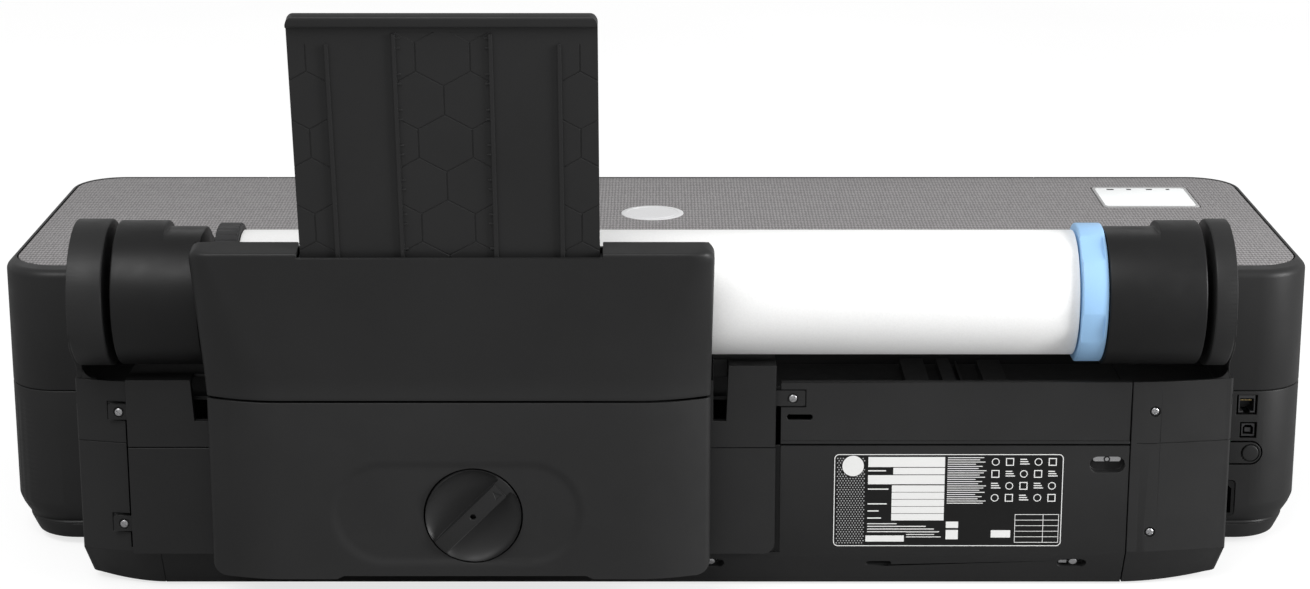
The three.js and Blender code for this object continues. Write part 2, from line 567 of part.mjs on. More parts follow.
function rollBlock() {
  const seat = block(FEEDER_LEFT - 0.6, -360, -170, BLOCK_REAR + 2, BEVEL_TOP, BLOCK_TOP + 5);
  let left = endCap(-1, BLOCK_PANEL_LEFT - GAP).subtract(seat);
  for (const tab of TABS.slice(0, 2)) {
    left = left.subtract(tabRecess(tab)).subtract(screwHole(tab));
  }
  add('left_end_cap', left, CHARCOAL);
  add('right_end_cap', endCap(1, BLOCK_PANEL_RIGHT + GAP), CHARCOAL);

  const x0 = BLOCK_PANEL_LEFT;
  const x1 = BLOCK_PANEL_RIGHT;
  const edge = FEEDER_RIGHT + 4;
  const front = BODY_REAR - GAP;
  const lowerProfile = [[BLOCK_REAR, BLOCK_SEAM - GAP], [BLOCK_REAR, BEVEL_TOP],
    [BLOCK_REAR + BEVEL_DEPTH, BLOCK_BOTTOM], [front, BLOCK_BOTTOM], [front, BLOCK_BOTTOM + 3],
    [BLOCK_REAR + BEVEL_DEPTH + 1.4, BLOCK_BOTTOM + 3], [BLOCK_REAR + 3, BEVEL_TOP + 1.2],
    [BLOCK_REAR + 3, BLOCK_SEAM - GAP]];
  const lower = prism('x', lowerProfile, x0, x1)
    .subtract(block(x0 - 5, edge, -170, -150, BEVEL_TOP, BLOCK_SEAM + 5))
    .subtract(prism('y', roundedRect(322.5, 349.5, 94.5, 107.5, 6.4), -170, BLOCK_REAR + 1.6));
  add('rear_panel_lower', lower, CHARCOAL);

  // The upper panel folds over into the trough under the roll.
  const troughProfile = [[BLOCK_REAR + 3.4, TROUGH_Z - 3], [front, TROUGH_Z - 3],
    [front, TROUGH_Z], [BLOCK_REAR + 12, TROUGH_Z], [BLOCK_REAR + 7, TROUGH_Z + 3],
    [BLOCK_REAR + 5.5, BLOCK_TOP - 4], [BLOCK_REAR + 3.4, BLOCK_TOP - 4]];
  const facePlate = block(edge, x1, BLOCK_REAR, BLOCK_REAR + 3.4, BLOCK_SEAM, BLOCK_TOP)
    .add(block(edge, x1, BLOCK_REAR, BLOCK_REAR + 5.5, BLOCK_TOP - 6, BLOCK_TOP))
    .subtract(tabRecess(TABS[2])).subtract(screwHole(TABS[2]))
    .subtract(block(97, 116, -170, BLOCK_REAR + 1.5, 135.7, 140.3));
  let trough = prism('x', troughProfile, x0, x1).add(facePlate);
  for (const [rib0, rib1] of [[187, 205], [215, 225]]) {
    trough = trough.add(block(rib0, rib1, -150, -70, TROUGH_Z - 1, TROUGH_Z + 7));
  }
  add('trough_panel', trough, CHARCOAL);
}

// ---- paper roll on its spindle ----
// A grip collar and, inboard of it, a drum that lies a little lower; hollow towards the ear.
function hub(name, side, inner, outer) {
  const sink = (GRIP_RADIUS - HUB_RADIUS) / 2;
  const middle = (inner + outer) / 2 + side * 2;
  const drum = rodX(GRIP_RADIUS - sink, inner, middle + side, ROLL_Y, ROLL_Z - sink, 36)
    .add(rodX(GRIP_RADIUS, middle, outer, ROLL_Y, ROLL_Z, 36))
    .subtract(rodX(HUB_RADIUS - 4, inner + side * 5, outer + side, ROLL_Y, ROLL_Z, 24)
      .subtract(rodX(14, inner, outer + side * 5, ROLL_Y, ROLL_Z, 16)))
    .subtract(rodX(SHAFT_RADIUS + GAP, inner - side, outer + side * 2, ROLL_Y, ROLL_Z, 24));
  add(name, drum, CHARCOAL);
}

// A toothed disc outline around the roll axis.
function toothedDisc(radius, depth, teeth) {
  const points = [];
  for (let i = 0; i < teeth; i += 1) {
    for (const [part, r] of [[0, radius], [0.55, radius], [0.65, radius - depth], [0.9, radius - depth]]) {
      const angle = 2 * Math.PI * (i + part) / teeth;
      points.push([ROLL_Y + r * Math.cos(angle), ROLL_Z + r * Math.sin(angle)]);
    }
  }
  return points;
}

// A disc outline with flats of the given angular width.
function flattedDisc(radius, flats, width) {
  const points = [];
  const pitch = 360 / flats;
  for (let i = 0; i < flats; i += 1) {
    const start = i * pitch + FLAT_FIRST + width / 2;
    const steps = 8;
    for (let k = 0; k <= steps; k += 1) {
      const angle = THREE.MathUtils.degToRad(start + (pitch - width) * k / steps);
      points.push([ROLL_Y + radius * Math.cos(angle), ROLL_Z + radius * Math.sin(angle)]);
    }
  }
  return points;
}

function roll() {
  add('spindle_shaft', rodX(SHAFT_RADIUS, -SHAFT_END, SHAFT_END, ROLL_Y, ROLL_Z), STEEL);
  hub('left_hub', -1, -330, HUB_LEFT_END);
  hub('right_hub', 1, 327, HUB_RIGHT_END);
  const bore = (x0, x1) => rodX(SHAFT_RADIUS + GAP, x0, x1, ROLL_Y, ROLL_Z, 24);
  const rollRight = ROLL_LEFT + ROLL_LENGTH;
  const spigot = CORE_RADIUS - 3.4;

  const flange = prism('x', toothedDisc(51, 1.2, 28), -320.5, ROLL_LEFT - 0.6)
    .add(rodX(spigot, ROLL_LEFT - 2, ROLL_LEFT + 18, ROLL_Y, ROLL_Z))
    .subtract(bore(-330, ROLL_LEFT + 20));
  add('roll_flange', flange, DARK_GREY);
  // The stopper's rim has five grip flats, and a plain lip on its outer side.
  const lip = STOPPER_OUTER - STOPPER_LIP;
  const stopper = prism('x', flattedDisc(STOPPER_RADIUS, 5, FLAT_WIDTH), rollRight + 0.6, lip)
    .add(rodX(STOPPER_RADIUS, lip - 0.1, STOPPER_OUTER, ROLL_Y, ROLL_Z, 60))
    .add(rodX(spigot, rollRight - 18, rollRight + 2, ROLL_Y, ROLL_Z))
    .subtract(bore(rollRight - 20, 330));
  add('roll_stopper', stopper, BLUE);

  add('roll_core', rodX(CORE_RADIUS, ROLL_LEFT, rollRight, ROLL_Y, ROLL_Z, 32)
    .subtract(rodX(CORE_RADIUS - 3, ROLL_LEFT - 1, rollRight + 1, ROLL_Y, ROLL_Z, 32)), CARD);
  add('paper_roll', rodX(ROLL_RADIUS, ROLL_LEFT, rollRight, ROLL_Y, ROLL_Z, 48)
    .subtract(rodX(CORE_RADIUS + GAP, ROLL_LEFT - 1, rollRight + 1, ROLL_Y, ROLL_Z, 32)), PAPER);
}

// ---- rear sheet feeder ----
const DOOR_HINGE = [-170, 36];  // Y and Z of the door's hinge line
const PICK = [-181, 102];       // Y and Z of the pick roller
function feederBase() {
  const top = 168;
  let base = prism('y', roundedRect(FEEDER_LEFT, FEEDER_RIGHT, BEVEL_TOP + 0.4, 190, 6),
    FEEDER_FACE, BLOCK_REAR + 1.6, 3)
    .subtract(block(-400, 42, -170, -150, top, 200))
    .subtract(block(0, 100, -170, -150, 179, 200))
    .add(block(FEEDER_LEFT, FEEDER_RIGHT, FEEDER_FACE, -122, BLOCK_TOP + 0.4, top))
    .add(block(42, FEEDER_RIGHT, FEEDER_FACE, -122, top - 1, 179))
    .subtract(block(DOOR_LEFT - 15, DOOR_LEFT - 2.5, -170, -161.5, 147, 190))
    .subtract(block(DOOR_RIGHT + 2.5, DOOR_RIGHT + 14, -170, -161.5, 147, 190));
  for (const { x, z } of TABS) {
    const [x0, x1] = x < 0 ? [x - 8, FEEDER_LEFT + 1] : [FEEDER_RIGHT - 1, x + 9];
    base = base.add(block(x0, x1, BLOCK_REAR + 0.2, BLOCK_REAR + 1.6, z - 6, z + 6))
      .subtract(rodY(SCREW_HOLE, -165, -155, x, z, 12));
  }
  // Lugs with stub pins for the door, and arms for the pick roller.
  const [hingeY, hingeZ] = DOOR_HINGE;
  for (const [wall, inward] of [[DOOR_LEFT + WALL, 1], [DOOR_RIGHT - WALL, -1]]) {
    const lug = wall + inward * 0.4;
    base = base
      .add(block(lug, lug + inward * 4, hingeY - 4, FEEDER_FACE + 1, hingeZ - 1.6, hingeZ + 4))
      .add(rodX(1.5, wall - inward * 2.6, lug + inward, hingeY, hingeZ, 12))
      .add(block(wall + inward * 12, wall + inward * 15, PICK[0] - 8, FEEDER_FACE + 1, 80, 124))
      .subtract(rodX(3.4, wall + inward * 11, wall + inward * 16, PICK[0], PICK[1], 16));
  }
  add('feeder_base', base, CHARCOAL);

  const pick = rodX(3, DOOR_LEFT + WALL + 10, DOOR_RIGHT - WALL - 10, PICK[0], PICK[1], 16)
    .add(rodX(12, -190, -96, PICK[0], PICK[1], 24));
  add('pick_roller', pick, RUBBER);
}

// Plan section of the feeder covers: straight sides, with the rear face curving into them.
function coverSection({ x0, x1, rear, front, bendX, bendY, zRear, zFront }) {
  const points = [[x0, front]];
  for (let i = 0; i <= 5; i += 1) {
    const angle = (i / 5) * Math.PI / 2;
    points.push([x0 + bendX * (1 - Math.cos(angle)), rear + bendY * (1 - Math.sin(angle))]);
  }
  for (let i = 5; i >= 0; i -= 1) {
    const angle = (i / 5) * Math.PI / 2;
    points.push([x1 - bendX * (1 - Math.cos(angle)), rear + bendY * (1 - Math.sin(angle))]);
  }
  points.push([x1, front]);
  const rise = (zFront - zRear) / (front - rear);
  return points.map(([x, y]) => new THREE.Vector3(x, y, zRear + (y - rear) * rise));
}

function doorSection(z, inset) {
  return coverSection({ x0: DOOR_LEFT + inset, x1: DOOR_RIGHT - inset, rear: DOOR_REAR + inset,
    front: FEEDER_FACE - 0.6 + inset, bendX: 55, bendY: 14, zRear: z, zFront: z });
}

const KNOB_BAR = 6.2;           // half width of the knob's grip bar
const KNOB = { x: -133.4, z: 78, radius: 35, face: -213, back: -200 };
function feederDoor() {
  const shell = loft([doorSection(DOOR_BOTTOM, 0), doorSection(DOOR_TOP, 0)]);
  const inside = loft([doorSection(DOOR_BOTTOM + 5, WALL), doorSection(DOOR_TOP + 5, WALL)]);
  const corners = prism('y', roundedRect(DOOR_LEFT, DOOR_RIGHT, DOOR_BOTTOM, 260, 10), -220, -150, 4);
  const [hingeY, hingeZ] = DOOR_HINGE;
  const cup = rodY(KNOB.radius + 4, DOOR_REAR + 1.5, KNOB.back + 3, KNOB.x, KNOB.z, 40)
    .subtract(rodY(KNOB.radius + 0.8, -230, KNOB.back + 1, KNOB.x, KNOB.z, 40))
    .subtract(rodY(6.5, -230, -180, KNOB.x, KNOB.z, 20));
  const dish = prism('y', roundedRect(-235, -55, 42.5, 117.5, 37), -220, DOOR_REAR + 1.5, 8);
  const door = shell.subtract(inside).intersect(corners).subtract(dish)
    .subtract(rodY(KNOB.radius + 0.8, -230, -205, KNOB.x, KNOB.z, 40))
    .add(cup)
    .subtract(block(-230, -50, -220, -200, 20, DOOR_BOTTOM + 2.5))
    .subtract(block(DOOR_LEFT - 5, DOOR_RIGHT + 5, hingeY, -150, 20, hingeZ - 1.8))
    .subtract(rodX(1.8, DOOR_LEFT + 0.2, DOOR_RIGHT - 0.2, hingeY, hingeZ, 12));
  add('feeder_door', door, CHARCOAL);
}

function feederKnob() {
  const { x, z, radius, face, back } = KNOB;
  let knob = rodY(radius, face, back, x, z, 48).add(rodY(6, back - 1, back + 10, x, z, 20));
  for (const side of [-1, 1]) {
    const scoop = new THREE.SphereGeometry(1, 18, 12).scale(32, 10, 25).translate(0, 0, side * 7);
    const room = side < 0
      ? block(-40, 40, -12, 12, -40, -KNOB_BAR) : block(-40, 40, -12, 12, KNOB_BAR, 40);
    knob = knob.subtract(solid(scoop).intersect(room).rotate([0, -45, 0]).translate([x, face, z]));
  }
  add('feeder_knob', knob.subtract(rodY(2, face - 1, face + 3, x, z, 12)), CHARCOAL);
}

// A box in the upper cover's leaning frame: n is the depth in from its rear face, and s is the
// distance up its slope from the seam over the door.
function leaningBlock(x0, x1, n0, n1, s0, s1) {
  const box = new THREE.BoxGeometry(x1 - x0, n1 - n0, s1 - s0);
  box.translate((x0 + x1) / 2, (n0 + n1) / 2, (s0 + s1) / 2).rotateX(LEAN);
  return solid(box.translate(0, DOOR_REAR, DOOR_TOP + GAP));
}

function upperCover() {
  const seam = DOOR_TOP + GAP;
  const rise = COVER_HEIGHT * Math.cos(LEAN);
  const topRear = { y: DOOR_REAR - COVER_HEIGHT * Math.sin(LEAN), z: seam + rise };
  const topFront = { y: topRear.y + COVER_DEPTH * Math.cos(LEAN),
    z: topRear.z + COVER_DEPTH * Math.sin(LEAN) };
  const footFront = topFront.y + (topFront.z - seam) * Math.tan(LEAN);
  const section = (share, inset) => {
    const flare = 4 * share;
    return coverSection({
      x0: DOOR_LEFT - flare + inset, x1: DOOR_RIGHT + flare / 2 - inset,
      rear: THREE.MathUtils.lerp(DOOR_REAR, topRear.y, share) + inset,
      front: THREE.MathUtils.lerp(footFront, topFront.y, share) - inset,
      bendX: THREE.MathUtils.lerp(55, 14, share), bendY: THREE.MathUtils.lerp(14, 9, share),
      zRear: THREE.MathUtils.lerp(seam, topRear.z, share),
      zFront: THREE.MathUtils.lerp(seam, topFront.z, share),
    });
  };
  const outer = loft([section(0, 0), section(0.5, 0), section(1, 0)]);
  const inner = loft([section(-0.03, COVER_WALL), section(0.5, COVER_WALL),
    section(0.975, COVER_WALL)]);
  const notch = leaningBlock(NOTCH_LEFT, NOTCH_RIGHT, -5, COVER_DEPTH + 5, COVER_HEIGHT - 4,
    COVER_HEIGHT + 10);
  add('feeder_upper_cover', outer.subtract(inner).subtract(notch), CHARCOAL);
}

function extension() {
  const bottom = COVER_HEIGHT - EXTENSION_HIDDEN;
  const top = COVER_HEIGHT + EXTENSION_OUT;
  const [n0, n1] = [3, 3 + EXTENSION_THICK];
  let plate = leaningBlock(EXTENSION_LEFT, EXTENSION_RIGHT, n0 + 3, n1, bottom, top)
    .add(leaningBlock(EXTENSION_LEFT, EXTENSION_RIGHT, n0 - 1.5, n1 + 2, top - 9, top));
  for (const [x, end] of [[-224.3, 22], [-178.4, 14], [-112.5, 14], [-65.8, 22]]) {
    plate = plate.add(leaningBlock(x - 1.3, x + 1.3, n0, n0 + 4, bottom, top - end));
  }
  add('feeder_extension', plate, CHARCOAL);
  for (const [name, x] of [['paper_guide_left', NOTCH_LEFT], ['paper_guide_right', NOTCH_RIGHT - 5]]) {
    add(name, leaningBlock(x, x + 5, n1 + 0.8, COVER_DEPTH - 3, 16, COVER_HEIGHT - 8), DARK_GREY);
  }
}

function feet() {
  for (const [name, x] of [['front_left_foot', -430], ['front_right_foot', 430]]) {
    add(name, rodZ(14, 0, 7.9, x, 215, 24), RUBBER);
  }
  for (const [name, x] of [['rear_left_foot', -400], ['rear_right_foot', 395]]) {
    add(name, rodZ(13, 0, BLOCK_BOTTOM - GAP, x, -100, 24), RUBBER);
  }
}

rollBlock();
tabScrews();
roll();
feederBase();
feederDoor();
feederKnob();
upperCover();
extension();
sideCovers();
powerButton();
rearCover();
frontPieces();
frontCover();
inkDoor();
topPanel();
chassis();
paperPath();
carriage();
inkBay();
electronics();
feet();

export default plotter;
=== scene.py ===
# Large format plotter seen from behind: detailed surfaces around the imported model.
# Solids are worked out in millimetres, in the model's frame (+Z up, rear at -Y), then scaled.
import json
import math

import bmesh
import bpy
import numpy as np
from mathutils import Matrix, Vector
from mathutils.kdtree import KDTree


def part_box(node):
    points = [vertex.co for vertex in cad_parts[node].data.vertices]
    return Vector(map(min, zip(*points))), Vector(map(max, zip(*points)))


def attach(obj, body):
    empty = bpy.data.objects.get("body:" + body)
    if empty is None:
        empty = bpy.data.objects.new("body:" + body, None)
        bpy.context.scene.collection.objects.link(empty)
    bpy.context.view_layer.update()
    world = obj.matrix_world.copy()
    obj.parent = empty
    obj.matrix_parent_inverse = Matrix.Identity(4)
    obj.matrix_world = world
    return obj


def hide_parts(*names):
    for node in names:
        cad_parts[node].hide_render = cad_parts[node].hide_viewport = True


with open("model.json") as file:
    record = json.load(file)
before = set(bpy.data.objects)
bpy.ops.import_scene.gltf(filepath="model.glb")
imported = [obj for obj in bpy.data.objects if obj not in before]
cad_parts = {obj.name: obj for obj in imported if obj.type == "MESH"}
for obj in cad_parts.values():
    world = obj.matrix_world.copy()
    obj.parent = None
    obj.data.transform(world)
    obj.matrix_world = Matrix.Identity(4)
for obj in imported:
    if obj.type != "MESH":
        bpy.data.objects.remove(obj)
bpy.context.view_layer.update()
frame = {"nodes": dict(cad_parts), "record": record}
MM = 0.001


# ---------------------------------------------------------------- solids
bench = bpy.data.scenes.new("bench")
AXES = {"x": (1, 2, 0), "y": (0, 2, 1), "z": (0, 1, 2)}


class Body:
    """A closed mesh in millimetres that can be joined to others or cut by them."""

    def __init__(self, points=(), faces=(), mesh=None):
        if mesh is None:
            mesh = bpy.data.meshes.new("body")
            mesh.from_pydata([tuple(p) for p in points], [], faces)
            work = bmesh.new()
            work.from_mesh(mesh)
            bmesh.ops.recalc_face_normals(work, faces=work.faces)
            work.to_mesh(mesh)
            work.free()
        self.mesh = mesh

    def _with(self, other, operation):
        host = bpy.data.objects.new("host", self.mesh)
        tool = bpy.data.objects.new("tool", other.mesh)
        for item in (host, tool):
            bench.collection.objects.link(item)
        change = host.modifiers.new("change", "BOOLEAN")
        change.operation, change.solver, change.object = operation, "MANIFOLD", tool
        layer = bench.view_layers[0]
        layer.update()
        result = bpy.data.meshes.new_from_object(host.evaluated_get(layer.depsgraph))
        for item in (host, tool):
            bpy.data.objects.remove(item)
        return Body(mesh=result)

    def __add__(self, other):
        return self._with(other, "UNION")

    def __sub__(self, other):
        return self._with(other, "DIFFERENCE")

    def __and__(self, other):
        return self._with(other, "INTERSECT")

    def moved(self, matrix):
        mesh = self.mesh.copy()
        mesh.transform(matrix)
        return Body(mesh=mesh)


def place(axis, u, v, w):
    point = [0.0, 0.0, 0.0]
    for index, value in zip(AXES[axis], (u, v, w)):
        point[index] = value
    return point


def arc(cu, cv, radius, start, end, steps=10):
    angles = [math.radians(start + (end - start) * i / steps) for i in range(steps + 1)]
    return [(cu + radius * math.cos(a), cv + radius * math.sin(a)) for a in angles]


def rounded(u0, u1, v0, v1, radius, steps=10):
    return (arc(u0 + radius, v0 + radius, radius, 180, 270, steps)
            + arc(u1 - radius, v0 + radius, radius, 270, 360, steps)
            + arc(u1 - radius, v1 - radius, radius, 0, 90, steps)
            + arc(u0 + radius, v1 - radius, radius, 90, 180, steps))


def inset(outline, depth):
    """A counter-clockwise outline moved inwards by depth."""
    result = []
    for i, (u, v) in enumerate(outline):
        back, ahead = outline[i - 1], outline[(i + 1) % len(outline)]
        before = Vector((u - back[0], v - back[1])).normalized()
        after = Vector((ahead[0] - u, ahead[1] - v)).normalized()
        normal = Vector((-before.y - after.y, before.x + after.x))
        normal *= 2 * depth / max(normal.length_squared, 0.2)
        result.append((u + normal.x, v + normal.y))
    return result


def loft(sections, ring=False):
    """A solid skinned over sections of equal length; ring joins the last one to the first."""
    count = len(sections[0])
    faces = []
    last = len(sections) - (0 if ring else 1)
    for s in range(last):
        a, b = s * count, ((s + 1) % len(sections)) * count
        for i in range(count):
            j = (i + 1) % count
            faces.append((a + i, a + j, b + j, b + i))
    if not ring:
        faces.append(tuple(range(count)))
        faces.append(tuple((len(sections) - 1) * count + i for i in range(count)))
    return Body([p for section in sections for p in section], faces)


def prism(axis, outline, low, high, round_low=0.0, round_high=0.0, steps=4):
    """An outline drawn out along an axis, with a rounded edge at either end."""
    levels = []
    for k in range(steps + 1 if round_low else 1):
        a = math.radians(90 * k / steps)
        levels.append((low + round_low * (1 - math.cos(a)), round_low * (1 - math.sin(a))))
    ends = []
    for k in range(steps + 1 if round_high else 1):
        a = math.radians(90 * k / steps)
        ends.append((high - round_high * (1 - math.cos(a)), round_high * (1 - math.sin(a))))
    levels += reversed(ends)
    return loft([[place(axis, u, v, w) for u, v in (inset(outline, d) if d else outline)]
                 for w, d in levels])


def box(x0, x1, y0, y1, z0, z1):
    return prism("x", [(y0, z0), (y1, z0), (y1, z1), (y0, z1)], x0, x1)


def lathe(axis, cu, cv, profile, segments=96, ring=False):
    """A profile of (along, radius) pairs turned round an axis."""
    turns = [2 * math.pi * i / segments for i in range(segments)]
    return loft([[place(axis, cu + r * math.cos(t), cv + r * math.sin(t), w) for t in turns]
                 for w, r in profile], ring)


def rod(axis, radius, low, high, cu, cv, segments=48, edge=0.0):
    profile = [(low, radius), (high, radius)] if not edge else [
        (low, radius - edge), (low + edge * 0.3, radius - edge * 0.3), (low + edge, radius),
        (high - edge, radius), (high - edge * 0.3, radius - edge * 0.3), (high, radius - edge)]
    return lathe(axis, cu, cv, profile, segments)


def tube(axis, inner, outer, low, high, cu, cv, segments=96, edge=0.5):
    profile = [(low, inner), (low, outer - edge), (low + edge, outer), (high - edge, outer),
               (high, outer - edge), (high, inner)]
    return lathe(axis, cu, cv, profile, segments, ring=True)


def washer(axis, inner, outer, low, high, cu, cv, segments):
    """A square-edged ring."""
    profile = [(low, inner), (low, outer), (high, outer), (high, inner)]
    return lathe(axis, cu, cv, profile, segments, ring=True)


def joined(bodies):
    """Several bodies that don't touch, as one."""
    work = bmesh.new()
    for body in bodies:
        work.from_mesh(body.mesh)
    mesh = bpy.data.meshes.new("joined")
    work.to_mesh(mesh)
    work.free()
    return Body(mesh=mesh)


def ellipsoid(centre, radii):
    work = bmesh.new()
    bmesh.ops.create_uvsphere(work, u_segments=48, v_segments=32, radius=1)
    mesh = bpy.data.meshes.new("ball")
    work.to_mesh(mesh)
    work.free()
    mesh.transform(Matrix.Translation(centre) @ Matrix.Diagonal((*radii, 1)))
    return Body(mesh=mesh)


# ---------------------------------------------------------------- materials
class Nodes:
    """Short calls for a material's node tree."""

    def __init__(self, name):
        self.material = bpy.data.materials.new(name)
        self.material.use_nodes = True
        self.tree = self.material.node_tree
        self.shader = self.tree.nodes["Principled BSDF"]

    def add(self, kind, **inputs):
        node = self.tree.nodes.new("ShaderNode" + kind)
        for key, value in inputs.items():
            self.put(node.inputs[key], value)
        return node

    def put(self, socket, value):
        if isinstance(value, bpy.types.NodeSocket):
            self.link(value, socket)
        elif value is not None:
            socket.default_value = value

    def link(self, source, target):
        self.tree.links.new(source, target)

    def math(self, operation, a, b=None, c=None):
        node = self.tree.nodes.new("ShaderNodeMath")
        node.operation = operation
        for socket, value in zip(node.inputs, (a, b, c)):
            self.put(socket, value)
        return node.outputs[0]

    def product(self, a, b):
        return self.math("MULTIPLY", a, b)

    def remap(self, value, from_low, from_high, to_low=0.0, to_high=1.0):
        node = self.add("MapRange", **{"Value": value, "From Min": from_low,
                                       "From Max": from_high, "To Min": to_low,
                                       "To Max": to_high})
        return node.outputs[0]

    def split(self, vector):
        return self.add("SeparateXYZ", Vector=vector).outputs

    def coordinates(self):
        return self.add("TexCoord").outputs["Object"]

    def noise(self, vector, scale, detail=3.0, roughness=0.55):
        node = self.add("TexNoise", Vector=vector, Scale=scale, Detail=detail,
                        Roughness=roughness)
        return node.outputs["Fac"]

    def ramp(self, value, stops):
        node = self.tree.nodes.new("ShaderNodeValToRGB")
        self.link(value, node.inputs[0])
        elements = node.color_ramp.elements
        while len(elements) < len(stops):
            elements.new(0.5)
        for element, (position, colour) in zip(elements, stops):
            element.position = position
            element.color = (*colour, 1) if len(colour) == 3 else colour
        return node.outputs[0]

    def bump(self, height, distance, strength=1.0, normal=None):
        node = self.add("Bump", Height=height, Distance=distance, Strength=strength)
        if normal is not None:
            self.link(normal, node.inputs["Normal"])
        return node.outputs["Normal"]


def shade(colour, factor):
    return tuple(min(1.0, c * factor) for c in colour)


def finish_shader(nodes, colour, roughness, normal, specular=0.5, metallic=0.0):
    inputs = nodes.shader.inputs
    nodes.link(colour, inputs["Base Color"])
    nodes.link(roughness, inputs["Roughness"])
    if normal is not None:
        nodes.link(normal, inputs["Normal"])
    inputs["Metallic"].default_value = metallic
    inputs["Specular IOR Level"].default_value = specular


def roughness_of(nodes, where, middle, spread, scale=60.0):
    cloud = nodes.noise(where, scale, 4.0)
    return nodes.remap(cloud, 0.3, 0.7, middle - spread, middle + spread)


def moulded(name, colour, roughness=0.45, specular=0.3, grain=0.0009, height=0.00004,
            mottle=0.10):
    """Moulded plastic: fine spark-eroded grain, faint flow mottling, uneven sheen."""
    nodes = Nodes(name)
    where = nodes.coordinates()
    cloud = nodes.noise(where, 9.0, 5.0)
    specks = nodes.noise(where, 900.0, 2.0)
    mixed = nodes.math("ADD", nodes.product(cloud, 0.7),
                       nodes.product(specks, 0.3))
    tint = nodes.ramp(mixed, [(0.34, shade(colour, 1 - mottle)), (0.66, shade(colour, 1 + mottle))])
    fine = nodes.noise(where, 1 / grain, 3.0, 0.6)
    normal = nodes.bump(fine, height)
    finish_shader(nodes, tint, roughness_of(nodes, where, roughness, 0.05), normal, specular)
    return nodes.material


def lattice(nodes, where, across, along):
    """A diamond lattice of soft dimples, 0 to 1."""
    split = nodes.split(where)
    wobble = nodes.product(nodes.math("SUBTRACT", nodes.noise(where, 300.0, 2.0), 0.5),
                        1.3)
    x = nodes.product(split[0], 1 / across)
    y = nodes.product(split[1], 1 / along)
    turn = 2 * math.pi
    u = nodes.product(nodes.math("ADD", nodes.math("ADD", x, y), wobble), turn / 2)
    v = nodes.product(nodes.math("ADD", nodes.math("SUBTRACT", x, y), wobble), turn / 2)
    wave = nodes.product(nodes.math("SINE", u), nodes.math("SINE", v))
    return nodes.math("MULTIPLY_ADD", wave, 0.5, 0.5)


def woven_top(name, colour):
    """Grey plastic moulded with a fine woven relief; its hollows are painted darker and its crests
    lighter, as painted shade and painted highlight.
    """
    nodes = Nodes(name)
    where = nodes.coordinates()
    weave = lattice(nodes, where, 0.0027, 0.0064)
    cloud = nodes.product(nodes.math("SUBTRACT", nodes.noise(where, 260.0, 3.0), 0.5), 0.5)
    weave_painted_shade = nodes.math("ADD", weave, cloud)
    # Painted shade in the weave's hollows (down to 0.62 of the grey) and a painted highlight on its
    # crests (up to 1.5), over random tone from the cloud.
    tint = nodes.ramp(weave_painted_shade, [(0.12, shade(colour, 0.62)), (0.5, colour),
                              (0.9, shade(colour, 1.5))])
    normal = nodes.bump(weave, 0.0004, 0.6)
    finish_shader(nodes, tint, roughness_of(nodes, where, 0.5, 0.06), normal, 0.3)
    return nodes.material


def ribbed_cover(name, colour):
    """The cover plastic, with a faint woven relief that fades in towards the far left side."""
    nodes = Nodes(name)
    where = nodes.coordinates()
    cloud = nodes.noise(where, 9.0, 5.0)
    tint = nodes.ramp(cloud, [(0.34, shade(colour, 0.9)), (0.66, shade(colour, 1.1))])
    split = nodes.split(where)
    side = nodes.product(split[0], -1.0)
    reach = nodes.remap(side, 0.482, 0.500)
    below = nodes.remap(split[2], 0.122, 0.112)
    y = nodes.product(split[1], math.pi / 0.0060)
    z = nodes.product(split[2], math.pi / 0.0042)
    rows = nodes.product(nodes.math("SINE", nodes.math("ADD", y, z)),
                      nodes.math("SINE", nodes.math("SUBTRACT", y, z)))
    relief = nodes.product(rows, nodes.product(reach, below))
    fine = nodes.bump(nodes.noise(where, 1100.0, 3.0, 0.6), 0.00004)
    normal = nodes.bump(relief, 0.0004, 0.6, fine)
    finish_shader(nodes, tint, roughness_of(nodes, where, 0.45, 0.05), normal, 0.26)
    return nodes.material


def metal(name, colour, roughness, brush=(1.0, 40.0, 1.0), metallic=1.0, height=0.00002):
    """Metal with fine drawn lines along the axis whose brush number is small."""
    nodes = Nodes(name)
    where = nodes.coordinates()
    drawn = nodes.add("Mapping", Vector=where, Scale=tuple(60.0 * b for b in brush)).outputs[0]
    lines = nodes.noise(drawn, 12.0, 5.0, 0.7)
    tint = nodes.ramp(lines, [(0.3, shade(colour, 0.86)), (0.7, shade(colour, 1.08))])
    finish_shader(nodes, tint, roughness_of(nodes, drawn, roughness, 0.07, 8.0),
                  nodes.bump(lines, height), metallic=metallic)
    return nodes.material


def paper_material(name, colour):
    """Matt coated paper, with faint fibre and, on its cut ends, the edges of the layers."""
    nodes = Nodes(name)
    where = nodes.coordinates()
    fibre = nodes.noise(where, 700.0, 5.0, 0.7)
    split = nodes.split(where)
    low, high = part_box("paper_roll")
    y = nodes.math("SUBTRACT", split[1], (low.y + high.y) / 2)
    z = nodes.math("SUBTRACT", split[2], (low.z + high.z) / 2)
    radius = nodes.math("SQRT", nodes.math("ADD", nodes.product(y, y),
                                           nodes.product(z, z)))
    layers = nodes.math("SINE", nodes.product(radius, 2 * math.pi / 0.0007))
    facing = nodes.add("NewGeometry").outputs["Normal"]
    face = nodes.math("ABSOLUTE", nodes.split(facing)[0])
    ends = nodes.product(layers, nodes.math("GREATER_THAN", face, 0.9))
    mixed = nodes.math("MULTIPLY_ADD", ends, 0.25, fibre)
    tint = nodes.ramp(mixed, [(0.2, shade(colour, 0.93)), (0.6, colour)])
    normal = nodes.bump(mixed, 0.00003)
    finish_shader(nodes, tint, roughness_of(nodes, where, 0.75, 0.06), normal, 0.25)
    return nodes.material


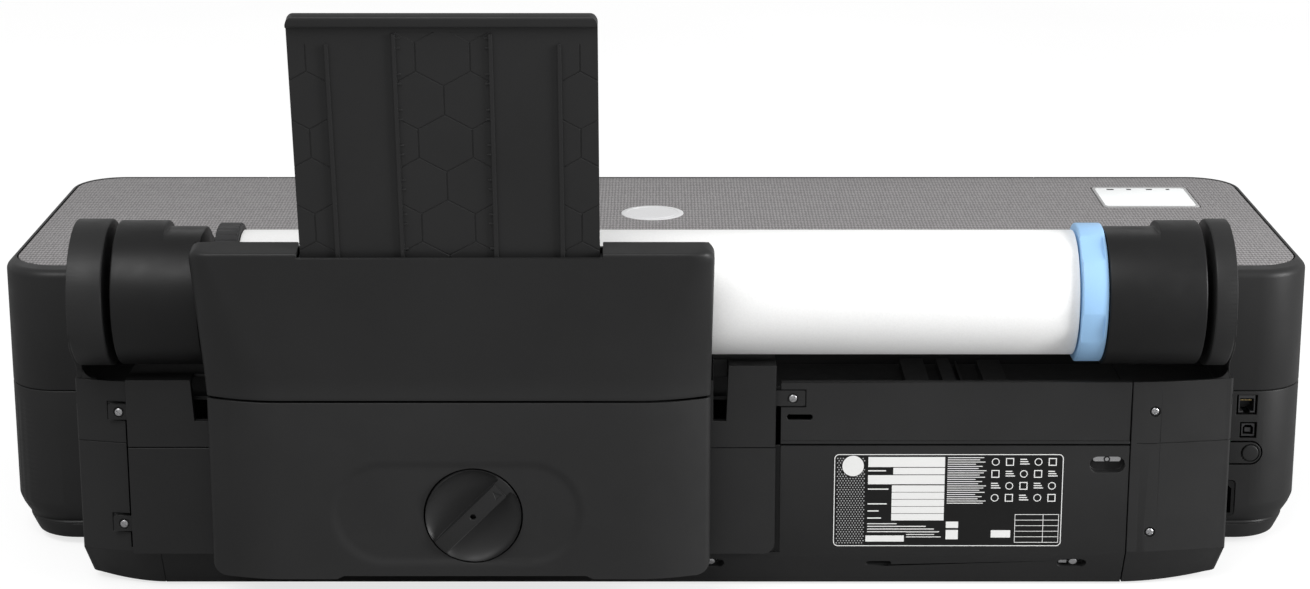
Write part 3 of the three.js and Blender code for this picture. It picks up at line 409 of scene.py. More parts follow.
def card_material(name, colour):
    """Spiral wound card, with the slanting joints of its plies."""
    nodes = Nodes(name)
    where = nodes.coordinates()
    split = nodes.split(where)
    slant = nodes.math("SINE", nodes.product(nodes.math("MULTIPLY_ADD", split[0], 0.35,
                                                                 split[2]), 260.0))
    fibre = nodes.noise(where, 500.0, 6.0, 0.75)
    mixed = nodes.math("MULTIPLY_ADD", slant, 0.1, fibre)
    tint = nodes.ramp(mixed, [(0.3, shade(colour, 0.75)), (0.7, shade(colour, 1.15))])
    finish_shader(nodes, tint, roughness_of(nodes, where, 0.85, 0.05),
                  nodes.bump(mixed, 0.0001), 0.2)
    return nodes.material


def board_material(name, colour):
    """A circuit board: solder mask over faint square tracks."""
    nodes = Nodes(name)
    where = nodes.coordinates()
    tracks = nodes.add("TexBrick", Vector=where, Scale=90.0, **{"Mortar Size": 0.06}).outputs[1]
    cloud = nodes.noise(where, 120.0, 4.0)
    mixed = nodes.math("MULTIPLY_ADD", tracks, 0.5, nodes.product(cloud, 0.5))
    tint = nodes.ramp(mixed, [(0.2, shade(colour, 0.7)), (0.8, shade(colour, 1.5))])
    finish_shader(nodes, tint, roughness_of(nodes, where, 0.4, 0.08),
                  nodes.bump(tracks, 0.00005), 0.4)
    return nodes.material


def screen_material(name, colour):
    """A pale display behind glass: an even glow with a faint pixel grid under a clear coat."""
    nodes = Nodes(name)
    where = nodes.coordinates()
    cloud = nodes.noise(where, 14.0, 2.0)
    grid = nodes.add("TexBrick", Vector=where, Scale=1500.0, **{"Mortar Size": 0.03}).outputs[1]
    mixed = nodes.math("MULTIPLY_ADD", grid, -0.08, cloud)
    tint = nodes.ramp(mixed, [(0.2, shade(colour, 0.93)), (0.8, colour)])
    finish_shader(nodes, tint, roughness_of(nodes, where, 0.16, 0.04), None)
    nodes.link(tint, nodes.shader.inputs["Emission Color"])
    nodes.shader.inputs["Emission Strength"].default_value = 0.35
    nodes.shader.inputs["Coat Weight"].default_value = 0.6
    nodes.shader.inputs["Coat Roughness"].default_value = 0.03
    return nodes.material


def smoked_material(name, colour):
    """Smoked clear plastic."""
    nodes = Nodes(name)
    where = nodes.coordinates()
    cloud = nodes.noise(where, 30.0, 3.0)
    tint = nodes.ramp(cloud, [(0.3, shade(colour, 0.85)), (0.7, shade(colour, 1.2))])
    finish_shader(nodes, tint, roughness_of(nodes, where, 0.1, 0.03),
                  nodes.bump(nodes.noise(where, 60.0, 2.0), 0.00003))
    nodes.shader.inputs["Transmission Weight"].default_value = 0.55
    nodes.shader.inputs["IOR"].default_value = 1.49
    return nodes.material


CHARCOAL = (0.0195, 0.0195, 0.0197)
LOOKS = {
    "charcoal_shell": moulded("charcoal_moulding", CHARCOAL, 0.44, 0.26),
    "dark_plastic": moulded("dark_moulding", (0.030, 0.030, 0.031), 0.5, 0.3),
    "top_grey": woven_top("woven_grey_painted_shade", (0.235, 0.226, 0.228)),
    "black_plastic": moulded("black_moulding", (0.006, 0.006, 0.006), 0.5, 0.25),
    "paper": paper_material("roll_paper", (0.93, 0.93, 0.925)),
    "card": card_material("wound_card", (0.40, 0.26, 0.13)),
    "blue_plastic": moulded("blue_moulding", (0.335, 0.575, 0.87), 0.38, 0.4, mottle=0.03),
    "steel": metal("sheet_steel", (0.55, 0.56, 0.57), 0.35, (1.0, 14.0, 14.0)),
    "aluminium": metal("drawn_aluminium", (0.62, 0.62, 0.63), 0.3, (1.0, 20.0, 20.0)),
    "screw_chrome": metal("bright_plating", (0.56, 0.56, 0.57), 0.28, (10.0, 10.0, 10.0)),
    "rubber": moulded("black_rubber", (0.010, 0.010, 0.010), 0.8, 0.2, 0.0006, 0.00008),
    "screen": screen_material("pale_screen", (0.90, 0.92, 0.92)),
    "smoke": smoked_material("smoked_plastic", (0.10, 0.105, 0.11)),
    "board_green": board_material("green_board", (0.02, 0.15, 0.06)),
    "ink_black": moulded("ink_black_case", (0.010, 0.010, 0.010), 0.3, 0.5, mottle=0.05),
    "ink_cyan": moulded("ink_cyan_case", (0.02, 0.32, 0.62), 0.3, 0.5, mottle=0.05),
    "ink_magenta": moulded("ink_magenta_case", (0.55, 0.04, 0.22), 0.3, 0.5, mottle=0.05),
    "ink_yellow": moulded("ink_yellow_case", (0.76, 0.56, 0.04), 0.3, 0.5, mottle=0.05),
}
SIDE_COVER = ribbed_cover("cover_moulding", CHARCOAL)
HUB_PLASTIC = moulded("hub_moulding", (0.0090, 0.0090, 0.0092), 0.42, 0.26)
BEZEL = moulded("display_bezel", (0.42, 0.42, 0.42), 0.4, 0.3, mottle=0.04)
BADGE = metal("pale_badge", (0.86, 0.86, 0.87), 0.35, (6.0, 6.0, 6.0), metallic=0.2)
LABEL_WHITE = moulded("label_white", (0.80, 0.80, 0.79), 0.5, 0.3, mottle=0.03)
LABEL_GREY = moulded("label_grey", (0.34, 0.34, 0.34), 0.5, 0.3, mottle=0.05)
DARK_SHIELD = metal("dark_shield", (0.055, 0.055, 0.057), 0.4, (6.0, 6.0, 6.0), metallic=0.6)
GOLD = metal("gilt_contact", (0.83, 0.62, 0.28), 0.25, (6.0, 6.0, 6.0))
SLOT_OF = {row["node"]: row["material_slot"] for row in frame["record"]["subparts"]}
BODY_OF = {node: body for body, nodes in frame["record"]["behaviour"]["bodies"].items()
           for node in nodes}


# ---------------------------------------------------------------- finished pieces
def bevel_room(work, width, angle=28.0):
    """Marks each sharp edge with the share of the bevel width that its faces leave room for."""
    layer = work.edges.layers.float.new("bevel_weight_edge")
    limit = math.radians(angle)
    room = {edge: math.inf for edge in work.edges
            if len(edge.link_faces) == 2 and edge.calc_face_angle() > limit}
    for face in work.faces:
        loops = [loop for loop in face.loops if loop.edge in room]
        if not loops:
            continue
        normal = face.normal
        u = (face.loops[0].link_loop_next.vert.co - face.loops[0].vert.co).normalized()
        v = normal.cross(u)
        flat = np.array([(loop.vert.co.dot(u), loop.vert.co.dot(v)) for loop in face.loops])
        ends = np.roll(flat, -1, axis=0)
        sides = ends - flat
        for loop in loops:
            start = np.array((loop.vert.co.dot(u), loop.vert.co.dot(v)))
            along = loop.link_loop_next.vert.co - loop.vert.co
            along = np.array((along.dot(u), along.dot(v)))
            length = np.hypot(*along)
            if length < 1e-6:
                continue
            inward = np.array((-along[1], along[0])) / length
            for share in (0.08, 0.5, 0.92):
                origin = start + along * share
                offset = flat - origin
                cross = inward[0] * sides[:, 1] - inward[1] * sides[:, 0]
                cross = np.where(np.abs(cross) < 1e-9, np.inf, cross)
                far = (offset[:, 0] * sides[:, 1] - offset[:, 1] * sides[:, 0]) / cross
                across = (offset[:, 0] * inward[1] - offset[:, 1] * inward[0]) / cross
                hits = far[(far > 1e-4) & (across >= -1e-6) & (across <= 1 + 1e-6)]
                if hits.size:
                    room[loop.edge] = min(room[loop.edge], float(hits.min()))
    for edge, gap in room.items():
        share = min(1.0, 0.44 * gap / width)
        edge[layer] = share if share > 0.06 else 0.0


def soften(item, width, segments=3, weighted=True):
    """Rounded edges, with the flat faces kept flat in the shading."""
    edges = item.modifiers.new("edges", "BEVEL")
    edges.width = width * MM
    edges.segments = segments
    edges.limit_method = "WEIGHT" if weighted else "ANGLE"
    edges.angle_limit = math.radians(28)
    edges.harden_normals = True
    edges.use_clamp_overlap = not weighted
    edges.loop_slide = False
    edges.miter_outer = "MITER_SHARP"


def settle(item, width):
    """Thins the rounding where it would fold a face over."""
    mesh = item.data
    shares = mesh.attributes["bevel_weight_edge"].data
    for keep in (0.5, 0.4, 0.0, 0.0):
        shaped = item.evaluated_get(bpy.context.evaluated_depsgraph_get()).to_mesh()
        shaped.calc_loop_triangles()
        spots = [shaped.vertices[i].co.copy() for tri in shaped.loop_triangles
                 if tri.area > 2e-7
                 and tri.normal.dot(shaped.polygons[tri.polygon_index].normal) < 0.4
                 for i in tri.vertices]
        item.to_mesh_clear()
        if not spots:
            return
        tree = KDTree(len(spots))
        for index, spot in enumerate(spots):
            tree.insert(spot, index)
        tree.balance()
        for edge in mesh.edges:
            if shares[edge.index].value > 0 and min(
                    tree.find(mesh.vertices[v].co)[2] for v in edge.vertices) < 1.8 * width * MM:
                shares[edge.index].value *= keep
        mesh.update()
        item.update_tag()


def piece(name, body, stands_for=(), rides=None, slot=None, look=None, bevel=0.0, segments=3,
          smooth=32.0):
    """A finished object made from a body in millimetres."""
    work = bmesh.new()
    work.from_mesh(body.mesh)
    bmesh.ops.remove_doubles(work, verts=work.verts, dist=0.002)
    bmesh.ops.dissolve_limit(work, angle_limit=math.radians(0.3), verts=work.verts,
                             edges=work.edges)
    if bevel:
        work.normal_update()
        bevel_room(work, bevel)
    bmesh.ops.scale(work, vec=(MM, MM, MM), verts=work.verts)
    mesh = bpy.data.meshes.new(name)
    work.to_mesh(mesh)
    work.free()
    mesh.shade_smooth()
    mesh.set_sharp_from_angle(angle=math.radians(smooth))
    item = bpy.data.objects.new(name, mesh)
    bpy.context.scene.collection.objects.link(item)
    nodes = (stands_for,) if isinstance(stands_for, str) else tuple(stands_for)
    slot = slot or SLOT_OF[nodes[0]]
    mesh.materials.append(look or LOOKS[slot])
    if bevel:
        soften(item, bevel, segments)
        settle(item, bevel)
    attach(item, rides or BODY_OF[nodes[0]])
    if nodes:
        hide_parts(*nodes)
    return item


def trim(name, body, slot, **options):
    """A detail with no CAD node of its own, fixed to the frame."""
    return piece(name, body, rides="plotter_frame", slot=slot, **options)


def dress(node, bevel):
    """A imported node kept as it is: welded and its flat faces merged, edges rounded, finished."""
    item = frame["nodes"][node]
    weld = item.modifiers.new("weld", "WELD")
    weld.merge_threshold = 0.00001
    flat = item.modifiers.new("flat", "DECIMATE")
    flat.decimate_type = "DISSOLVE"
    flat.angle_limit = math.radians(0.3)
    soften(item, bevel, 2, weighted=False)
    for slot in item.material_slots:
        slot.material = LOOKS[SLOT_OF[node]]


# ---------------------------------------------------------------- dimensions shared with the model
BODY_HALF, BODY_REAR, BODY_FRONT = 506.5, -61.0, 274.0
BODY_TOP = 224.0
REAR_SPLIT, FRONT_LEFT, FRONT_RIGHT = 398.0, -340.5, 331.5
PANEL_HALF, PANEL_REAR, PANEL_FRONT, PANEL_CORNER = 500.0, -42.0, 264.0, 36.0
BLOCK_REAR, BLOCK_TOP, BLOCK_SEAM, BLOCK_BOTTOM = -161.0, 165.0, 117.0, 2.0
BEVEL_TOP, BEVEL_DEPTH, TROUGH_Z, CAP_SWING, SHAFT_END = 32.0, 17.0, 150.0, 11.0, 411.0
# End caps: outer side, then distances of the ear's inner and outer faces and of its plate.
CAPS = {-1: (-431.5, 399.0, 424.5, 425.5), 1: (429.0, 403.0, 418.5, 424.5)}
ROLL_Y, ROLL_Z, ROLL_LEFT, ROLL_RIGHT = -147.0, 230.5, -303.0, 307.0
# Hubs: side, inner end, outer end, and where the grip collar starts.
HUBS = {"left_hub": (-1, -330, -393.3, -357.5), "right_hub": (1, 327, 397.3, 366.5)}
FEEDER_LEFT, FEEDER_RIGHT, FEEDER_FACE = -391.5, 88.6, -166.0
DOOR_LEFT, DOOR_RIGHT, DOOR_REAR, DOOR_BOTTOM, DOOR_TOP = -326.7, 39.7, -211.0, 29.0, 164.7
LEAN = math.radians(12.5)
COVER_HEIGHT, COVER_DEPTH, SLOT_FOOT = 120.0, 20.0, 136.5
DOOR_HINGE, PICK_AXIS, FEED_AXIS = (-170.0, 36.0), (-181, 102), (60, 106)      # y, z
WINDOW_HINGE, FLAP_HINGE = (271.5, 208.5), (271.5, 44.5)
TAB_SCREWS = {"left_upper": (-398, 142), "left_lower": (-398, 54.6), "right": (101.3, 152.6)}
CAP_SCREWS = {"upper": (370, 142.0), "lower": (370, 47.5)}                     # x, z
BUTTON_X, BUTTON_Z = 463.5, 77.4
BADGE_X, BADGE_Y = -3, 132
PICK_GROOVES = (-166, -143, -120)
GAP = 0.3


# ---------------------------------------------------------------- the paper roll and its spindle
def rounded_profile(low, high, radius, edge, steps=4):
    """The outside of a turned piece with both rims rounded."""
    turns = [math.radians(90 * k / steps) for k in range(steps + 1)]
    near = [(low + edge * (1 - math.cos(a)), radius - edge * (1 - math.sin(a))) for a in turns]
    far = [(high - edge * (1 - math.cos(a)), radius - edge * (1 - math.sin(a))) for a in turns]
    return near + far[::-1]


def paper_roll():
    segments, step = 256, 0.22
    end = ROLL_RIGHT - 0.8
    profile = [(ROLL_LEFT, 28.3)] + rounded_profile(ROLL_LEFT, end, 46.0, 0.4, 3) + [(end, 28.3)]
    start = math.radians(250)
    sections = []
    for w, r in profile:
        ring = []
        for i in range(segments):
            turn = 2 * math.pi * i / segments
            radius = r - (step * i / segments if r > 40 else 0)
            ring.append(place("x", ROLL_Y + radius * math.cos(start + turn),
                              ROLL_Z + radius * math.sin(start + turn), w))
        sections.append(ring)
    piece("roll_of_paper", loft(sections, ring=True), "paper_roll")
    core = tube("x", 25.0, 28.0, ROLL_LEFT, ROLL_RIGHT, ROLL_Y, ROLL_Z, 128, 0.4)
    piece("card_core", core, "roll_core")


def flange():
    """The knurled flange at the roll's left end."""
    teeth, radius, depth = 48, 51.0, 1.1
    outline = []
    for i in range(teeth):
        for part, drop in ((0.0, 0.0), (0.12, 0.12), (0.42, 0.12), (0.54, 0.0), (0.64, 0.8),
                           (0.76, 1.0), (0.88, 0.8)):
            r = radius - 0.12 + drop * -depth if drop > 0.5 else radius - (0.12 - drop)
            turn = 2 * math.pi * (i + part) / teeth
            outline.append((ROLL_Y + r * math.cos(turn), ROLL_Z + r * math.sin(turn)))
    disc = prism("x", outline, -320.5, -304.4, 0.9, 0.9, 3)
    face = lathe("x", ROLL_Y, ROLL_Z, rounded_profile(-306.5, -303.6, 49.2, 1.0), 128)
    spigot = lathe("x", ROLL_Y, ROLL_Z, rounded_profile(-306, -285, 24.6, 1.2), 96)
    dish = lathe("x", ROLL_Y, ROLL_Z, [(-325, 43.5), (-316, 42), (-316, 24), (-325, 23)], 96, True)
    bore = rod("x", 9.3, -330, -280, ROLL_Y, ROLL_Z, 64)
    piece("knurled_flange", disc + face + spigot - dish - bore, "roll_flange", bevel=0.25,
          segments=2, smooth=40)


def stopper():
    """The light blue stopper: five grip flats in its rim, and a full lip on the outer side."""
    low, high, radius = 307.6, 326.4, 51.0
    rim = lathe("x", ROLL_Y, ROLL_Z, rounded_profile(low, high, radius, 1.1), 240)
    for k in range(5):
        turn = math.radians(180 + 17.5 + 72 * k)
        cut = box(low - 5, high - 2.4, radius * math.cos(math.radians(13.5)), 60, -30, 30)
        matrix = (Matrix.Translation((0, ROLL_Y, ROLL_Z)) @ Matrix.Rotation(turn, 4, "X"))
        rim = rim - cut.moved(matrix)
    spigot = lathe("x", ROLL_Y, ROLL_Z, rounded_profile(289, 309, 24.6, 1.2), 96)
    dish = lathe("x", ROLL_Y, ROLL_Z, [(323, 45), (330, 46), (330, 16), (323, 17)], 96, True)
    bore = rod("x", 9.3, 280, 330, ROLL_Y, ROLL_Z, 64)
    spokes = box(323, 325.6, ROLL_Y - 2, ROLL_Y + 2, ROLL_Z - 45.5, ROLL_Z + 45.5)
    spokes = spokes + box(323, 325.6, ROLL_Y - 45.5, ROLL_Y + 45.5, ROLL_Z - 2, ROLL_Z + 2)
    body = (rim + spigot - dish) + (spokes & rod("x", 45.5, 322, 326, ROLL_Y, ROLL_Z))
    piece("blue_stopper", body - bore, "roll_stopper", bevel=0.4, segments=3, smooth=24)


def smooth_step(value, low, high):
    t = max(0.0, min(1.0, (value - low) / (high - low)))
    return t * t * (3 - 2 * t)


def hub(node, side, inner, outer, collar):
    """A drum as wide as its grip collar, but lower along its top; hollow towards the ear."""
    grip, dip, turns = 53.0, 4.5, 192

    def ring(w, radius, low):
        points = []
        for i in range(turns):
            degrees = 360 * i / turns
            lower = smooth_step(degrees, 30, 50) * (1 - smooth_step(degrees, 92, 122))
            r = radius - low * lower
            turn = math.radians(degrees)
            points.append(place("x", ROLL_Y + r * math.cos(turn), ROLL_Z + r * math.sin(turn), w))
        return points

    near = [ring(inner + side * w, r, dip) for w, r in rounded_profile(0, 9, grip, 1.2)[:5]]
    step = [ring(collar - side * 0.7, grip, dip), ring(collar - side * 0.4, grip, dip * 0.85),
            ring(collar + side * 0.3, grip, dip * 0.15), ring(collar + side * 0.9, grip, 0)]
    far = [ring(outer - side * (9 - w), r, 0) for w, r in rounded_profile(0, 9, grip, 1.5)[5:]]
    drum = loft(near + step + far)
    hollow = lathe("x", ROLL_Y, ROLL_Z, [
        (inner + side * 5, 14.0), (inner + side * 5, 44.0), (outer + side, 44.5),
        (outer + side, 14.0)], 128, ring=True)
    drum = drum - hollow
    for k in range(6):
        rib = box(*sorted((inner + side * 4, outer - side * 6)), -1, 1, 13, 45)
        turn = Matrix.Rotation(math.radians(60 * k + 12), 4, "X")
        drum = drum + rib.moved(Matrix.Translation((0, ROLL_Y, ROLL_Z)) @ turn)
    bore = rod("x", 9.3, *sorted((inner - side, outer + side * 2)), ROLL_Y, ROLL_Z, 64)
    piece("grip_" + node, drum - bore, node, look=HUB_PLASTIC, bevel=0.35, segments=2, smooth=26)


def spindle():
    shaft = rod("x", 9, -411, 411, ROLL_Y, ROLL_Z, 64, 0.8)
    for x in (-407, 405.8):
        shaft = shaft - tube("x", 8.3, 10, x, x + 1.2, ROLL_Y, ROLL_Z, 64, 0.1)
    piece("turned_spindle", shaft, "spindle_shaft", bevel=0.2, segments=2)
    # A dark sleeve between each hub and its ear is painted shade: it hides the bright shaft so that
    # the gap reads dark.
    for name, low, high in (("left", -398.6, -393.6), ("right", 397.6, 402.6)):
        sleeve = tube("x", 9.1, 13.2, low, high, ROLL_Y, ROLL_Z, 64, 0.6)
        piece("gap_shade_sleeve_" + name, sleeve, rides=BODY_OF["spindle_shaft"],
              slot="black_plastic")


# ---------------------------------------------------------------- roll block
def ear_outline(radius=54.0):
    """Side view of the ear: the rear edge sweeps out into a ring round the roll axis."""
    low, front = 200, 40
    end = arc(ROLL_Y, ROLL_Z, radius, low, front, 44)
    foot = Vector((BLOCK_REAR + CAP_SWING, BLOCK_TOP))
    first, second = foot + Vector((0, 17)), Vector((ROLL_Y - 43, ROLL_Z - 39.5))
    sweep = []
    for k in range(17):
        t = k / 16
        p = ((1 - t) ** 3 * foot + 3 * t * (1 - t) ** 2 * first + 3 * t * t * (1 - t) * second
             + t ** 3 * Vector(end[0]))
        sweep.append((p.x, p.y))
    outline = [(BODY_REAR - GAP, BLOCK_TOP - 20), (BODY_REAR - GAP, 205)]
    outline += end[::-1] + sweep[::-1][1:] + [(foot.x, BLOCK_TOP - 20)]
    return outline


def cap_section(side, inner, outer, z, inset=0.0, low=0.0, start=None, steps=20):
    """Plan outline of an end cap: its rear face sweeps forward towards the outside."""
    start = inner if start is None else start
    rear = BLOCK_REAR + inset + low * BEVEL_DEPTH
    edge = outer - side * (inset + low * 2)
    radius = 2.5 + 2.5 * low - inset * low
    points = []
    for k in range(steps + 1):
        x = start + (edge - side * radius - start) * k / steps
        share = max(0.0, (x - inner) / (outer - inner))
        points.append((x, rear + (CAP_SWING + 5 * low) * share ** 1.6))
    x, y = points[-1]
    for k in range(1, 13):
        a = math.radians(90 * k / 12)
        points.append((x + side * radius * math.sin(a), y + radius * (1 - math.cos(a))))
    points += [(edge, BODY_REAR - GAP - inset), (start, BODY_REAR - GAP - inset)]
    # The lower edge rises a little towards the outer corner.
    lift = 5 * low / abs(outer - inner) ** 2
    return [(x, y, z + lift * (x - inner) ** 2) for x, y in (points if side > 0 else points[::-1])]


def end_cap(side, inner, name, node, details):
    outer, ear_inner, ear_outer, plate_at = CAPS[side]
    beyond = inner - side * 5
    cap = loft([cap_section(side, inner, outer, z, 0.0, low) for z, low in (
        (BLOCK_BOTTOM, 1.0), (BEVEL_TOP - 1.5, 0.05), (BEVEL_TOP, 0.0), (BLOCK_TOP, 0.0))])
    trough = loft([cap_section(side, inner, outer, z, 3.0, 0.0, beyond)
                   for z in (TROUGH_Z, BLOCK_TOP + 5)])
    cap = cap - (trough & box(*sorted((side * plate_at, beyond)), -200, 0, 0, 200))
    hollow = loft([cap_section(side, inner, outer, z, 3.0, low, beyond) for z, low in (
        (BLOCK_BOTTOM + 3, 1.0), (BEVEL_TOP + 1.5, 0.0), (TROUGH_Z - 3, 0.0))])
    cap = cap - hollow
    # The mouth of the trough has a round lower outer corner.
    centre = plate_at - 10
    web = [(side * (plate_at + 0.4), 164.2), (side * (plate_at + 0.4), 176)]
    web += [(side * (centre + 10 * math.cos(a)), 175 - 10 * math.sin(a))
            for a in (math.radians(9 * k) for k in range(11))]
    web = (web + [(side * centre, 164.2)])[::(1 if side < 0 else -1)]
    cap = cap + prism("y", web, BLOCK_REAR + CAP_SWING - 1, BLOCK_REAR + CAP_SWING + 3)
    # The plate leans in from the cap's side wall to the ear.
    wing = [(side * plate_at, 140), (outer, 140), (outer, 150), (side * (ear_outer + 4), 186),
            (side * (ear_outer + 1), 207), (side * ear_outer, 222), (side * ear_outer, 300),
            (side * (ear_outer - 6), 300), (side * (ear_outer - 6), 222), (side * plate_at, 170)]
    wing = wing if side > 0 else wing[::-1]
    plate = prism("x", ear_outline(), *sorted((side * (ear_outer - 6), outer)))
    cap = cap + (plate & prism("y", wing, -230, 0))
    ear = rounded_profile(*sorted((side * ear_inner, side * ear_outer)), 54, 1.4)
    cap = cap + lathe("x", ROLL_Y, ROLL_Z, ear, 160)
    reach = SHAFT_END + 2
    bore = rod("x", 9.8, *sorted((side * (ear_inner - 1), side * reach)), ROLL_Y, ROLL_Z, 64)
    slot = box(-10, 10, 0, 80, -9.8, 9.8)
    turn = Matrix.Translation((side * (reach - 10), ROLL_Y, ROLL_Z)) @ Matrix.Rotation(
        math.radians(45), 4, "X")
    cap = cap - bore - slot.moved(turn)
    # The faint parting line round the cap.
    ledge = loft([cap_section(side, inner, outer, z, -1.0) for z in (117.0, 117.6)])
    ledge = ledge - loft([cap_section(side, inner, outer, z, 0.8, 0.0, beyond)
                          for z in (116.5, 118.0)])
    cap = cap - (ledge & box(*sorted((side * 600, inner + side * 4)), -200, -100, 0, 300))
    piece(name, details(cap), node, bevel=0.55, segments=3, smooth=30)


def obround(x, z, width, height, low, high, steps=14):
    return prism("y", rounded(x - width / 2, x + width / 2, z - height / 2, z + height / 2,
                              height / 2 - 0.05, steps), low, high)


def left_cap_details(cap):
    seat = box(FEEDER_LEFT - 1.3, -360, -170, BLOCK_REAR + 2.4, BEVEL_TOP, BLOCK_TOP + 5)
    cap = cap - seat - box(FEEDER_LEFT - 2.2, FEEDER_LEFT + 1, -170, -150, BEVEL_TOP + 3, 146)
    for x, z in (TAB_SCREWS["left_upper"], TAB_SCREWS["left_lower"]):
        moat = box(-407.2, -388, -170, BLOCK_REAR + 6, z - 7.2, z + 7.2)
        moat = moat - box(-405.4, -380, -158.9, 0, z - 5.6, z + 5.6)
        cap = cap - moat
        cap = cap - rod("y", 1.6, -170, -150, x, z, 24)
    return cap


def right_cap_details(cap):
    for x, z in CAP_SCREWS.values():
        cap = cap - rod("y", 4.1, -170, BLOCK_REAR + 3.2, x, z, 48)
        cap = cap + rod("y", 4.6, BLOCK_REAR + 2.9, BLOCK_REAR + 5, x, z, 48)
    return cap


def screw(name, x, z, top, radius, length, stands_for=()):
    """A pan head cross-recess screw seen end on."""
    head = lathe("y", x, z, [(top, radius * 0.45), (top + 0.12, radius * 0.72),
                             (top + 0.5, radius * 0.93), (top + 1.0, radius),
                             (top + 1.4, radius)], 64)
    body = head + rod("y", 1.3, top + 0.6, top + length, x, z, 32)
    for turn in (38, 128):
        blade = box(-2.1, 2.1, -0.8, 1.1, -0.45, 0.45)
        matrix = (Matrix.Translation((x, top, z))
                  @ Matrix.Rotation(math.radians(turn), 4, "Y"))
        body = body - blade.moved(matrix)
    piece(name, body, stands_for, rides="plotter_frame", slot="screw_chrome", smooth=35,
          bevel=0.08, segments=2)


